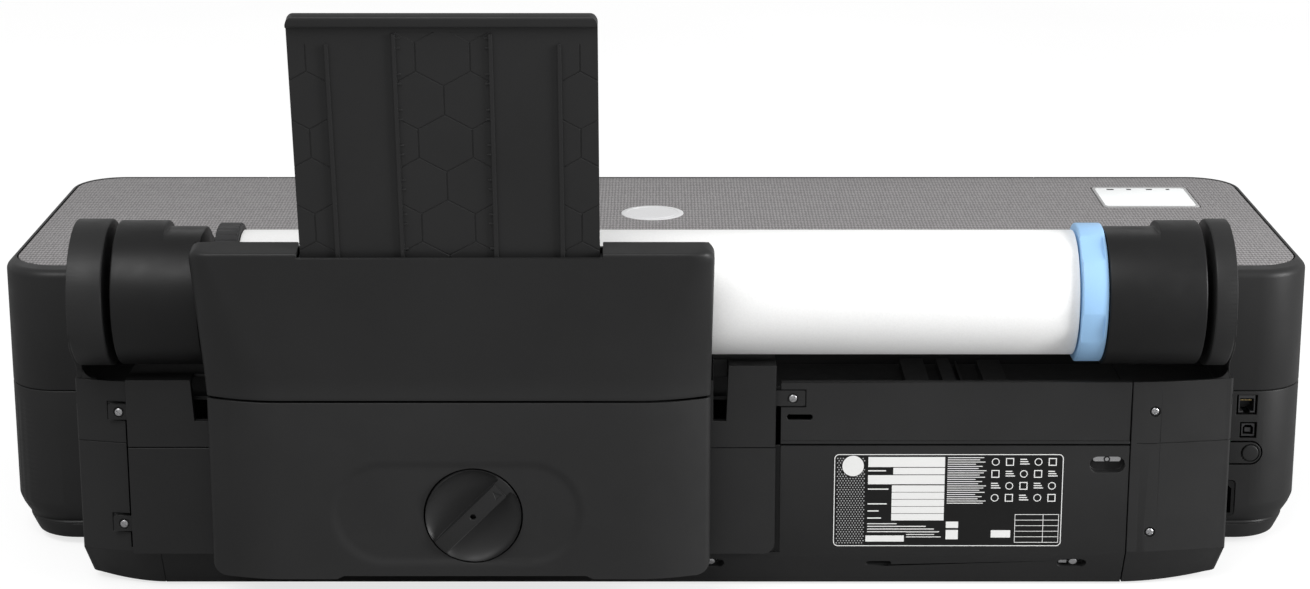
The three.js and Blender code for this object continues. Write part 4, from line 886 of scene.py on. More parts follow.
def roll_block():
    end_cap(-1, -371.8, "ear_cap_left", "left_end_cap", left_cap_details)
    end_cap(1, 352.8, "ear_cap_right", "right_end_cap", right_cap_details)
    for name, (x, z) in TAB_SCREWS.items():
        screw("cross_tab_screw_" + name, x, z, BLOCK_REAR - 0.8, 3.0, 3.4, "tab_screw_" + name)
    for name, (x, z) in CAP_SCREWS.items():
        screw("cap_screw_" + name, x, z, BLOCK_REAR + 1.2, 2.9, 1.6)

    x0, x1 = -371.5, 352.5
    edge, front = FEEDER_RIGHT + 4, BODY_REAR - GAP
    foot = BLOCK_REAR + BEVEL_DEPTH
    profile = [(BLOCK_REAR, BLOCK_SEAM - GAP), (BLOCK_REAR, BEVEL_TOP), (foot, BLOCK_BOTTOM),
               (front, BLOCK_BOTTOM), (front, BLOCK_BOTTOM + 3), (foot + 1.4, BLOCK_BOTTOM + 3),
               (BLOCK_REAR + 3, BEVEL_TOP + 1.2), (BLOCK_REAR + 3, BLOCK_SEAM - GAP)]
    profile = [(y, min(z, BLOCK_SEAM - 1.3)) for y, z in profile]
    panel = prism("x", profile, x0, x1 - 0.6)
    panel = panel - box(x0 - 5, edge, -170, -150, BEVEL_TOP, BLOCK_SEAM + 5)
    panel = panel + box(edge - 9, edge + 1, BLOCK_REAR + 2.4, BLOCK_REAR + 5, BEVEL_TOP - 1,
                        BLOCK_SEAM - 1.3)
    panel = panel - obround(336, 101, 26, 12.4, -170, BLOCK_REAR + 5)
    tray = obround(336, 101, 29, 15, BLOCK_REAR + 2, BLOCK_REAR + 9)
    tray = tray - obround(336, 101, 26, 12.4, BLOCK_REAR + 1, BLOCK_REAR + 7.5)
    panel = panel + tray
    # Slot and screw recesses in the bevel, cut square to it.
    slope = math.atan2(BEVEL_DEPTH, BEVEL_TOP - BLOCK_BOTTOM)
    middle = Vector((0, BLOCK_REAR + BEVEL_DEPTH / 2, (BEVEL_TOP + BLOCK_BOTTOM) / 2))
    for x, width, height in ((167.7, 19, 4), (313, 22, 8.6), (40, 22, 8.6)):
        cut = obround(0, 0, width, height, -8, 6, 12)
        matrix = (Matrix.Translation(middle + Vector((x, -4 * math.tan(slope), 4)))
                  @ Matrix.Rotation(slope, 4, "X"))
        panel = panel - cut.moved(matrix)
        shell = prism("y", rounded(-width / 2 - 1.2, width / 2 + 1.2, -height / 2 - 1.2,
                                   height / 2 + 1.2, height / 2 + 1.1, 12), 1.6, 7)
        cut = obround(0, 0, width, height, -8, 5.4, 12)
        panel = panel + (shell - cut).moved(matrix)
        if height > 5:
            head = lathe("y", 1.2, 0.2, [(0.6, 1.6), (0.75, 2.4), (1.3, 3.1), (1.9, 3.3),
                                         (5.6, 3.3)], 48)
            head = head + washer("y", 4.4, 4.9, 4.6, 5.6, 1.2, 0.2, 48)
            strip = box(-9.6, -3.6, 1.8, 5.6, -1.6, 1.6)
            trim("bevel_screw_%d" % x, joined([head, strip]).moved(matrix), "screw_chrome",
                 bevel=0.15, segments=2)
    ring = washer("y", 1.5, 2.4, BLOCK_REAR + 3.2, BLOCK_REAR + 4, 336, 104.2, 40)
    trim("recess_eyelet", ring, "black_plastic")
    strip = prism("y", rounded(325.6, 346.4, 102.4, 106.3, 1.9, 8), BLOCK_REAR + 3.6,
                  BLOCK_REAR + 7.6)
    trim("recess_catch", strip, "screw_chrome", bevel=0.2, segments=2)
    piece("rear_panel", panel, "rear_panel_lower", bevel=0.5)

    trough_profile = [(BLOCK_REAR + 3.4, TROUGH_Z - 3), (front, TROUGH_Z - 3), (front, TROUGH_Z),
                      (BLOCK_REAR + 12, TROUGH_Z), (BLOCK_REAR + 7, TROUGH_Z + 3),
                      (BLOCK_REAR + 5.5, BLOCK_TOP - 4), (BLOCK_REAR + 3.4, BLOCK_TOP - 4)]
    side_edge = x1 - 0.6
    face = box(edge, side_edge, BLOCK_REAR, BLOCK_REAR + 3.4, BLOCK_SEAM, BLOCK_TOP)
    face = face + box(edge, side_edge, BLOCK_REAR, BLOCK_REAR + 5.5, BLOCK_TOP - 6, BLOCK_TOP)
    face = face - box(92.3, 111.3, -170, BLOCK_REAR + 2, 145.6, 159.6)
    face = face - rod("y", 1.6, -170, -150, 101.3, 152.6, 24)
    face = face - obround(106.5, 138, 19, 4.6, -170, BLOCK_REAR + 5)
    face = face - box(edge - 1, x1 + 1, -170, BLOCK_REAR + 0.5, 119.3, 120.1)
    trough = prism("x", trough_profile, x0, x1) + face
    for rib0, rib1, height in ((187, 205, 7), (215, 225, 7), (229, 231, 5), (246, 264, 6),
                               (-200, -182, 7), (-20, -2, 7)):
        trough = trough + box(rib0, rib1, -150, -70, TROUGH_Z - 1, TROUGH_Z + height)
    for a, b in ((DOOR_LEFT - 20, DOOR_LEFT - 1), (DOOR_RIGHT + 1, DOOR_RIGHT + 16)):
        trough = trough - box(a, b, -160, -147, 140, 170)
    piece("roll_trough", trough, "trough_panel", bevel=0.5)


# ---------------------------------------------------------------- rear sheet feeder
def feeder_base():
    top, back = 168.0, BLOCK_REAR + 1.6
    outline = (arc(FEEDER_LEFT + 2, BEVEL_TOP + 2.4, 2, 180, 270, 8)
               + arc(FEEDER_RIGHT - 9, BEVEL_TOP + 9.4, 9, 270, 360, 14)
               + [(FEEDER_RIGHT, 190), (FEEDER_LEFT, 190)])
    base = prism("y", outline, FEEDER_FACE, back)
    base = base - box(-400, 42, -170, -150, top, 200) - box(0, 100, -170, -150, 179, 200)
    base = base + box(FEEDER_LEFT, FEEDER_RIGHT, FEEDER_FACE, -122, BLOCK_TOP + 0.4, top)
    base = base + box(42, FEEDER_RIGHT, FEEDER_FACE, -122, top - 1, 179)
    # Finger slots beside the covers; the outer walls lean in slightly.
    for a, b, lean in ((DOOR_LEFT - 18, DOOR_LEFT - 2.5, 3.5),
                       (DOOR_RIGHT + 2.5, DOOR_RIGHT + 14, -2)):
        left = [(a + max(lean, 0), SLOT_FOOT), (b + min(lean, 0), SLOT_FOOT), (b, 190), (a, 190)]
        base = base - prism("y", left, -170, -148)
    for x, z in TAB_SCREWS.values():
        x0, x1 = (x - 8, FEEDER_LEFT + 1) if x < 0 else (FEEDER_RIGHT - 1, x + 9)
        tab = prism("y", rounded(x0, x1, z - 6, z + 6, 1.2, 4), BLOCK_REAR + 0.2, back)
        base = base + tab - rod("y", 1.6, -165, -155, x, z, 24)
        base = base - rod("y", 4.0, -170, BLOCK_REAR + 1.1, x, z, 40)
    base = base - box(FEEDER_LEFT - 1, DOOR_LEFT - 1, -170, FEEDER_FACE + 1.8, 115.6, 116.4)
    base = base - box(DOOR_RIGHT + 1, FEEDER_RIGHT + 1, -170, FEEDER_FACE + 1.8, 115.6, 116.4)
    (hinge_y, hinge_z), wall = DOOR_HINGE, 3.0
    for edge, inward in ((DOOR_LEFT + wall, 1), (DOOR_RIGHT - wall, -1)):
        lug = edge + inward * 0.4
        base = base + box(*sorted((lug, lug + inward * 4)), hinge_y - 4, FEEDER_FACE + 1,
                          hinge_z - 1.6, hinge_z + 4)
        base = base + rod("x", 1.5, *sorted((edge - inward * 2.6, lug + inward)), hinge_y,
                          hinge_z, 24)
        base = base + box(*sorted((edge + inward * 12, edge + inward * 15)), -189,
                          FEEDER_FACE + 1, 80, 124)
        base = base - rod("x", 3.4, *sorted((edge + inward * 11, edge + inward * 16)),
                          *PICK_AXIS, 32)
    piece("feeder_housing", base, "feeder_base", bevel=0.5)


def side_bend(bend_x, bend_y, roundness, steps=22, corner=7):
    """From the side wall to the flat rear face: (inwards, forwards) offsets of a shallow bend.

    Without roundness the bend is one shallow arc that ends in a small corner; with full
    roundness it is a quarter ellipse.
    """
    reach = 3.5
    start = bend_y * (1 - reach / bend_x) ** 2
    knee = start + 2 * bend_y / bend_x * (1 - reach / bend_x) * reach
    points = []
    for k in range(steps + 1):
        if k < corner:
            t = k / corner
            x = reach * t * t
            y = (1 - t) ** 2 * (knee + reach) + 2 * t * (1 - t) * knee + t * t * start
        else:
            x = reach + (bend_x - reach) * (k - corner) / (steps - corner)
            y = bend_y * (1 - x / bend_x) ** 2
        a = math.radians(90 * k / steps)
        ellipse = (bend_x * (1 - math.cos(a)), bend_y * (1 - math.sin(a)))
        points.append((x + (ellipse[0] - x) * roundness, y + (ellipse[1] - y) * roundness))
    return points


def cover_path(x0, x1, rear, front, bend_x, bend_y, pitch, roundness=0.0):
    """The rear face of a feeder cover in plan, from its left front edge to its right one."""
    bend = side_bend(bend_x, bend_y, roundness)
    middle = (front + rear + bend[0][1]) / 2
    points = [(x0, front), (x0, middle)] + [(x0 + x, rear + y) for x, y in bend]
    count = max(2, int((x1 - x0 - 2 * bend_x) / pitch))
    for k in range(1, count):
        points.append((x0 + bend_x + (x1 - x0 - 2 * bend_x) * k / count, rear))
    points += [(x1 - x, rear + y) for x, y in bend[::-1]]
    return points + [(x1, middle), (x1, front)]


KNOB_X, KNOB_Z, KNOB_RADIUS, KNOB_FACE, KNOB_BACK = -133.4, 78.0, 35.0, -213.0, -200.0


def dish_depth(x, z):
    """The soft stadium dish round the knob."""
    across = max(0.0, abs(x + 145) - 52)
    edge = 37.5 - math.hypot(across, z - 80)
    return 1.5 * smooth_step(edge, -3.5, 3.5)


def feeder_door():
    wall, front = 3.0, FEEDER_FACE - 0.6
    outer = cover_path(DOOR_LEFT, DOOR_RIGHT, DOOR_REAR, front, 55, 14, 2.2)
    inner = cover_path(DOOR_LEFT + wall, DOOR_RIGHT - wall, DOOR_REAR + wall, front, 52, 11.5, 2.2)
    rise = DOOR_TOP - 0.5 - DOOR_BOTTOM
    heights = [DOOR_BOTTOM + rise * k / 60 for k in range(61)]
    sections = []
    for z in heights:
        ring = [(x, y + (dish_depth(x, z) if y < DOOR_REAR + 0.5 else 0), z) for x, y in outer]
        sections.append(ring + [(x, y, z) for x, y in inner[::-1]])
    shell = loft(sections)
    floor = prism("z", outer, DOOR_BOTTOM, DOOR_BOTTOM + 5)
    shell = shell + floor
    # The lower edge is raised between the two feet, and the lower corners are round.
    edge = (arc(DOOR_LEFT + 10, DOOR_BOTTOM + 10, 10, 180, 270, 12)
            + [(-234, DOOR_BOTTOM), (-229, DOOR_BOTTOM + 2.5), (-51, DOOR_BOTTOM + 2.5),
               (-46, DOOR_BOTTOM)]
            + arc(DOOR_RIGHT - 10, DOOR_BOTTOM + 10, 10, 270, 360, 12)
            + [(DOOR_RIGHT, 170), (DOOR_LEFT, 170)])
    shell = shell & prism("y", edge, -220, -150)
    cup = tube("y", KNOB_RADIUS + 1.3, KNOB_RADIUS + 4, DOOR_REAR + 1.8, KNOB_BACK + 3, KNOB_X,
               KNOB_Z, 96, 0.2)
    back = washer("y", 6.5, KNOB_RADIUS + 2, KNOB_BACK + 1, KNOB_BACK + 3, KNOB_X, KNOB_Z, 96)
    shell = shell - rod("y", KNOB_RADIUS + 1.3, -230, -203, KNOB_X, KNOB_Z, 128) + cup + back
    hinge_y, hinge_z = DOOR_HINGE
    shell = shell - box(DOOR_LEFT - 5, DOOR_RIGHT + 5, hinge_y, -150, 20, hinge_z - 1.8)
    shell = shell - rod("x", 1.8, DOOR_LEFT + 0.2, DOOR_RIGHT - 0.2, hinge_y, hinge_z, 24)
    piece("feeder_lower_door", shell, "feeder_door", bevel=0.45, segments=2, smooth=30)


def feeder_knob():
    profile = [(KNOB_FACE, 30.0), (KNOB_FACE, KNOB_RADIUS - 1.6),
               (KNOB_FACE + 0.3, KNOB_RADIUS - 0.8), (KNOB_FACE + 0.9, KNOB_RADIUS - 0.3),
               (KNOB_FACE + 1.8, KNOB_RADIUS), (KNOB_BACK, KNOB_RADIUS)]
    knob = lathe("y", KNOB_X, KNOB_Z, profile, 160)
    knob = knob + rod("y", 6, KNOB_BACK - 1, KNOB_BACK + 10, KNOB_X, KNOB_Z, 48)
    turn = (Matrix.Translation((KNOB_X, KNOB_FACE, KNOB_Z))
            @ Matrix.Rotation(math.radians(-45), 4, "Y"))
    for side in (-1, 1):
        scoop = ellipsoid((0, 0, side * 7), (34.4, 10, 27.3))
        scoop = scoop & box(-40, 40, -12, 12, *sorted((side * 6.2, side * 40)))
        knob = knob - scoop.moved(turn)
    # The bar stops short of the rim at its upper end, where it carries a small pointer.
    knob = knob - box(28, 40, -2, 3.2, -9, 9).moved(turn)
    arrow = prism("y", [(21, -3), (27, -3), (24, 3.2)], -1, 0.6)
    knob = knob - arrow.moved(turn)
    knob = knob - rod("y", 2.1, KNOB_FACE - 1, KNOB_FACE + 7, KNOB_X, KNOB_Z, 32)
    piece("grip_knob", knob, "feeder_knob", bevel=0.5, segments=3, smooth=30)


def leaning(body):
    """Takes a body from the upper cover's own frame (depth in y, slope in z) to the model's."""
    return body.moved(Matrix.Translation((0, DOOR_REAR, DOOR_TOP + GAP))
                      @ Matrix.Rotation(LEAN, 4, "X"))


def upper_cover():
    seam, foot = DOOR_TOP + GAP, 20.0
    rise = COVER_HEIGHT * math.cos(LEAN)
    top_rear = (DOOR_REAR - COVER_HEIGHT * math.sin(LEAN), seam + rise)
    top_front = (top_rear[0] + COVER_DEPTH * math.cos(LEAN),
                 top_rear[1] + COVER_DEPTH * math.sin(LEAN))
    foot_front = top_front[0] + (top_front[1] - seam) * math.tan(LEAN)

    def section(share, inset_x, inset_y, wall=0.0):
        flare = 4 * share
        height = max(share, 0.0) * COVER_HEIGHT
        bent = height * height / (2 * foot) if height < foot else height - foot / 2
        rear = DOOR_REAR + (top_rear[0] - DOOR_REAR) * bent / (COVER_HEIGHT - foot / 2)
        rear += inset_y + wall
        front = foot_front + (top_front[0] - foot_front) * share - inset_y - wall
        z_rear = seam + (top_rear[1] - seam) * share
        z_front = seam + (top_front[1] - seam) * share
        path = cover_path(DOOR_LEFT - flare + inset_x + wall,
                          DOOR_RIGHT + flare / 2 - inset_x - wall, rear, front,
                          55 + (14 - 55) * share, 14 + (9 - 14) * share, 400,
                          max(0.0, share))
        slope = (z_front - z_rear) / (front - rear)
        return [(x, y, z_rear + (y - rear) * slope) for x, y in path]

    shares = [(0.0075, 0.5, 0.5), (0.009, 0.15, 0.15), (0.012, 0.0, 0.0)]
    shares += [(k / 30, 0.0, 0.0) for k in range(1, 28)]
    corner, edge = 9.0, 2.6
    for drop in (8.5, 7, 5.5, 4.2, 3.2, 2.4, 1.7, 1.1, 0.6, 0.25, 0.0):
        across = corner - math.sqrt(corner ** 2 - (corner - drop) ** 2)
        over = edge - math.sqrt(max(edge ** 2 - (edge - min(drop, edge)) ** 2, 0))
        shares.append((1 - drop / COVER_HEIGHT, across, over))
    outer = loft([section(*s) for s in shares])
    # The wall is thinner near the foot, where the pushed-in extension passes close behind it.
    inner = loft([section(-0.03, 0, 0, 1.1)]
                 + [section(k / 20, 0, 0, 1.1 + 1.1 * smooth_step(k / 20, 0.15, 0.6))
                    for k in range(19)] + [section(0.975, 4, 0, 2.2)])
    notch = leaning(box(-253, -37.5, -5, COVER_DEPTH + 5, COVER_HEIGHT - 4, COVER_HEIGHT + 10))
    piece("feeder_top_cover", outer - inner - notch, "feeder_upper_cover", bevel=0.5, segments=3,
          smooth=30)


def extension():
    bottom, top = COVER_HEIGHT - 30, COVER_HEIGHT + 178
    left, right = -251.0, -39.5
    near, far = 3.0, 8.5
    plate = box(left, right, near + 3, far, bottom, top - 4)
    lip = rounded(near - 1.5, far + 2, top - 9, top, 2.6, 6)
    lip = prism("x", lip, left, right)
    body = plate + lip
    outline = [(left, bottom), (right, bottom)] + arc(right - 7, top - 7, 7, 0, 90, 14) + arc(
        left + 7, top - 7, 7, 90, 180, 14)
    body = body & prism("y", outline, -5, 15)
    # Honeycomb lines in the outer and centre strips, cut 0.5 mm deep between the cells.
    face, depth, width, pitch = near + 3, 0.5, 37.4, 32.4
    strips = ((left, -226.2, top - 22), (-176.6, -114.3, top - 13), (-63.9, right, top - 22))
    reach = width / math.sqrt(3)
    cells = []
    for row in range(8):
        shift = 0.0 if row % 2 == 0 else width / 2
        for column in range(-4, 5):
            x, z = -145.4 + shift + column * width, top - 31 - row * pitch
            corners = [(x + (reach - 0.55) * math.sin(math.radians(60 * k)),
                        z + (reach - 0.55) * math.cos(math.radians(60 * k))) for k in range(6)]
            cells.append(prism("y", corners[::-1], face, face + depth))
    cells = joined(cells)
    for x0, x1, high in strips:
        window = box(x0, x1, face, face + depth, bottom - 5, high)
        body = body - ((window - cells) & box(x0, x1, face - 1, face + depth, bottom, high))
    for x, end in ((-224.3, 22), (-178.4, 14), (-112.5, 14), (-65.8, 22)):
        rib = prism("y", [(x - 1.5, bottom), (x + 1.5, bottom), (x + 1.2, top - end),
                          (x - 1.2, top - end)], near + 1.0, near + 4)
        body = body + rib
    # Small stop marks along the inner sides of the two centre ribs.
    z, step = top - 17, (7.2, 19.4)
    for k in range(13):
        for x, inward in ((-178.4, 1), (-112.5, -1)):
            mark = box(*sorted((x + inward, x + inward * 4.2)), near + 1.8, near + 4, z - 0.5,
                       z + 0.5)
            body = body + mark
        z -= step[k % 2]
    piece("pull_out_extension", leaning(body), "feeder_extension", bevel=0.22, segments=2,
          smooth=30)


def paper_guides():
    for name, x in (("paper_guide_left", -253), ("paper_guide_right", -42.5)):
        body = box(x, x + 5, 9.3, 17, 16, COVER_HEIGHT - 8)
        for s in (30, 48, 66, 84):
            body = body - box(x - 1, x + 6, 8, 11, s - 4, s + 4)
        piece("slotted_" + name, leaning(body), name, bevel=0.5)


# ---------------------------------------------------------------- body covers
def body_section(z, inset_x, inset_y, steps=16):
    radius = 42 - min(inset_x, inset_y)
    return [(x, y, z) for x, y in rounded(-BODY_HALF + inset_x, BODY_HALF - inset_x,
                                          BODY_REAR + inset_y, BODY_FRONT - inset_y, radius, steps)]


def side_region(side):
    front_edge = FRONT_LEFT - 0.5 if side < 0 else FRONT_RIGHT + 0.5
    outside = side * 520
    return (box(*sorted((side * (REAR_SPLIT + 0.3), outside)), -80, 100, 0, 240)
            + box(*sorted((front_edge, outside)), 100, 290, 0, 240))


def lower_shell():
    # The sides taper in at the bottom, and a cove runs round above the base rim.
    outer = [(6.0, 14.0, 5.0), (7.5, 13.2, 3.6), (12.0, 11.0, 2.4), (17.0, 8.6, 1.6),
             (18.2, 8.1, 1.5), (18.8, 8.3, 3.6), (20.0, 8.0, 4.4), (22.0, 7.0, 3.2),
             (25.0, 5.0, 1.9), (29.0, 2.6, 0.7), (34.0, 0.5, 0.0), (36.0, 0.0, 0.0),
             (126.6, 0.0, 0.0), (127.3, 0.15, 0.15), (127.7, 0.8, 0.8)]
    inner = [(5.0, 17.5, 8.4), (34.0, 4.6, 3.6), (60.0, 3.0, 3.0), (129.0, 3.0, 3.0)]
    return loft([body_section(*s) for s in outer]) - loft([body_section(*s) for s in inner])


def upper_shell():
    outer = [(128.0, 1.0, 1.0), (128.4, 0.3, 0.3), (129.2, 0.0, 0.0), (218.0, 0.0, 0.0)]
    outer += [(218 + 6 * math.sin(a), 6 * (1 - math.cos(a)), 6 * (1 - math.cos(a)))
              for a in (math.radians(15 * k) for k in range(1, 7))]
    inner = [(127.0, 3.0, 3.0), (221.0, 3.0, 3.0)]
    recess = prism("z", rounded(-PANEL_HALF - 1.3, PANEL_HALF + 1.3, PANEL_REAR - 0.9,
                                PANEL_FRONT + 0.6, PANEL_CORNER + 1.2, 24), 200, 230)
    return (loft([body_section(*s) for s in outer]) - loft([body_section(*s) for s in inner])
            - recess)


def hinge_boss(x0, x1, z):
    return box(x0, x1, 266, 272, z - 4.5, z + 4.5)


def button_outline(radius, steps=24):
    return ([(456 - radius, BUTTON_Z - radius)] + arc(BUTTON_X, BUTTON_Z, radius, -90, 90, steps)
            + [(456 - radius, BUTTON_Z + radius)])


def side_covers():
    lower, upper = lower_shell(), upper_shell()
    piece("lower_cover_left", lower & side_region(-1), "left_lower_cover", look=SIDE_COVER,
          bevel=0.4, segments=2, smooth=24)
    height = WINDOW_HINGE[1]
    left_upper = (upper & side_region(-1)) + hinge_boss(FRONT_LEFT - 8, FRONT_LEFT - 0.5, height)
    left_upper = left_upper - rod("x", 1.5, FRONT_LEFT - 6.5, FRONT_LEFT + 1, *WINDOW_HINGE, 24)
    piece("upper_cover_left", left_upper, "left_upper_cover", bevel=0.4, segments=2, smooth=24)
    right_upper = (upper & side_region(1)) + hinge_boss(FRONT_RIGHT + 0.5, FRONT_RIGHT + 8, height)
    right_upper = right_upper - rod("x", 1.5, FRONT_RIGHT - 1, FRONT_RIGHT + 6.5, *WINDOW_HINGE, 24)
    piece("upper_cover_right", right_upper, "right_upper_cover", bevel=0.4, segments=2, smooth=24)
    right = lower & side_region(1)
    right = right - box(343, 447, 262, 280, 41, 118.6)
    for x in (336, 447):
        right = right + hinge_boss(x, x + 7, FLAP_HINGE[1])
    right = right - rod("x", 1.5, 338, 452, *FLAP_HINGE, 24)
    right = right - box(451, 467, -70, -50, 108.6, 124.6) - box(454.5, 467.5, -70, -50, 89.5, 102.5)
    inlet = prism("y", rounded(430.6, 453.4, 25.1, 54.9, 3, 8), -70, -50)
    right = right - inlet - prism("y", button_outline(9.8), -70, -50)
    piece("lower_cover_right", right, "right_lower_cover", look=SIDE_COVER, bevel=0.4,
          segments=2, smooth=24)


def power_button():
    tongue = prism("y", button_outline(8.5), BODY_REAR, BODY_REAR + 2, 0.3, 0)
    cap = lathe("y", BUTTON_X, BUTTON_Z, [
        (BODY_REAR - 1, 4.6), (BODY_REAR - 0.85, 5.8), (BODY_REAR - 0.4, 6.35),
        (BODY_REAR + 1, 6.5)], 64)
    moat = washer("y", 6.4, 7.3, BODY_REAR - 1.2, BODY_REAR + 1.4, BUTTON_X, BUTTON_Z, 64)
    piece("round_button", (tongue - moat) + cap, "power_button", bevel=0.15, segments=2)


def rear_cover():
    profile = [(BODY_REAR + 3, 10), (BODY_REAR + 3, 221), (PANEL_REAR - 0.9, 221),
               (PANEL_REAR - 0.9, BODY_TOP)]
    profile += [(BODY_REAR + 6 - 6 * math.sin(a), 218 + 6 * math.cos(a))
                for a in (math.radians(15 * k) for k in range(7))]
    profile += [(BODY_REAR, 10)]
    body = prism("x", profile[::-1], -REAR_SPLIT, REAR_SPLIT)
    body = body - box(-312, 312, BODY_REAR - 10, BODY_REAR + 10, 166, 178)
    body = body - box(-399, 399, BODY_REAR - 1, BODY_REAR + 0.5, 127.6, 128.3)
    piece("rear_wall", body, "rear_cover", bevel=0.4)


def front_pieces():
    beam = [(BODY_FRONT - 3, 212.2), (BODY_FRONT, 212.2), (BODY_FRONT, 218)]
    beam += [(BODY_FRONT - 6 + 6 * math.cos(a), 218 + 6 * math.sin(a))
             for a in (math.radians(15 * k) for k in range(1, 7))]
    beam += [(PANEL_FRONT + 0.6, BODY_TOP), (PANEL_FRONT + 0.6, 221), (BODY_FRONT - 3, 219)]
    piece("front_beam", prism("x", beam, FRONT_LEFT, FRONT_RIGHT), "front_top_beam", bevel=0.4)

    fascia = [(266.4, 6), (269, 6), (270.4, 7.5), (271.6, 12), (272.4, 17), (272.5, 18.2),
              (270.4, 18.8), (269.6, 20), (270.8, 22), (272.1, 25), (273.3, 29), (274, 34),
              (274, 65), (273, 66), (271, 66), (271, 34)]
    body = prism("x", fascia, FRONT_LEFT, FRONT_RIGHT)
    body = body - box(FRONT_LEFT + 12, FRONT_RIGHT - 12, 273.3, 275, 50, 51)
    piece("front_skirt", body, "front_fascia", bevel=0.3)

    x0, x1 = FRONT_LEFT + 1.5, FRONT_RIGHT - 1.5
    cover = prism("y", rounded(x0, x1, 120, 211, 5, 10), 269.5, 273.5, 0.3, 0.8)
    cover = cover - prism("y", rounded(-40, 30, 122, 128, 2.9, 8), 272.5, 276)
    cover = cover + rod("x", 1.2, x0 - 6, x1 + 6, *WINDOW_HINGE, 24)
    cover = cover - box(x0 + 8, x1 - 8, 273.1, 274, 199.6, 200.3)
    piece("front_window", cover, "front_cover", bevel=0.2, segments=2)

    door = prism("y", rounded(343.6, 446.4, 42.2, 118, 2.5, 8), 269.8, 273.5, 0.0, 0.7)
    door = door - prism("y", rounded(383, 407, 108, 114, 2.9, 8), 272.5, 276)
    door = door + rod("x", 1.2, 339, 451, *FLAP_HINGE, 24)
    for z in (56, 60, 64):
        door = door - box(352, 438, 273.0, 274, z, z + 1)
    piece("ink_flap", door, "ink_door", bevel=0.2, segments=2)


def top_panel():
    x0, x1, y0, y1 = 376.0, 457.0, 153.0, 227.0
    plate = prism("z", rounded(-PANEL_HALF, PANEL_HALF, PANEL_REAR, PANEL_FRONT, PANEL_CORNER, 24),
                  BODY_TOP - 3, BODY_TOP, 0, 0.5, 3)
    hole = prism("z", rounded(x0 - 1.1, x1 + 1.1, y0 - 1.6, y1 + 1.6, 4.5, 10), 210, 230)
    plate = plate - hole - rod("z", 26.3, BODY_TOP - 0.8, BODY_TOP + 1,
                               BADGE_X, BADGE_Y, 128)
    piece("patterned_top", plate, "top_panel", smooth=40)
    glass = prism("z", rounded(x0 + 2.3, x1 - 2.3, y0 + 3.6, y1 - 3.6, 3, 10), BODY_TOP - 0.6,
                  BODY_TOP + 0.2, 0, 0.25, 3)
    frame_ring = prism("z", rounded(x0, x1, y0, y1, 4, 10), BODY_TOP - 7, BODY_TOP + 0.4, 0.3, 0.4)
    frame_ring = frame_ring - prism("z", rounded(x0 + 2.2, x1 - 2.2, y0 + 3.5, y1 - 3.5, 3.1, 10),
                                    BODY_TOP - 0.7, BODY_TOP + 2)
    piece("display_frame", frame_ring, "display", look=BEZEL, slot="charcoal_shell")
    trim("display_glass", glass, "screen")
    marks = []
    for k, width in enumerate((6, 4, 5, 3)):
        x = x0 + 12 + k * 17
        marks.append(box(x, x + width, y1 - 10.5, y1 - 7.0, BODY_TOP + 0.15, BODY_TOP + 0.32))
    trim("display_ticks", joined(marks), "dark_plastic")
    # A plain round badge: a bright dome with a ring.
    dome = [(BODY_TOP - 0.7, 25.9), (BODY_TOP + 0.05, 25.9), (BODY_TOP + 0.3, 25.4)]
    badge = lathe("z", BADGE_X, BADGE_Y, dome, 128)
    ring = washer("z", 19.5, 21.5, BODY_TOP + 0.12, BODY_TOP + 1, BADGE_X, BADGE_Y, 128)
    trim("round_badge", badge - ring, "aluminium", look=BADGE, smooth=40)


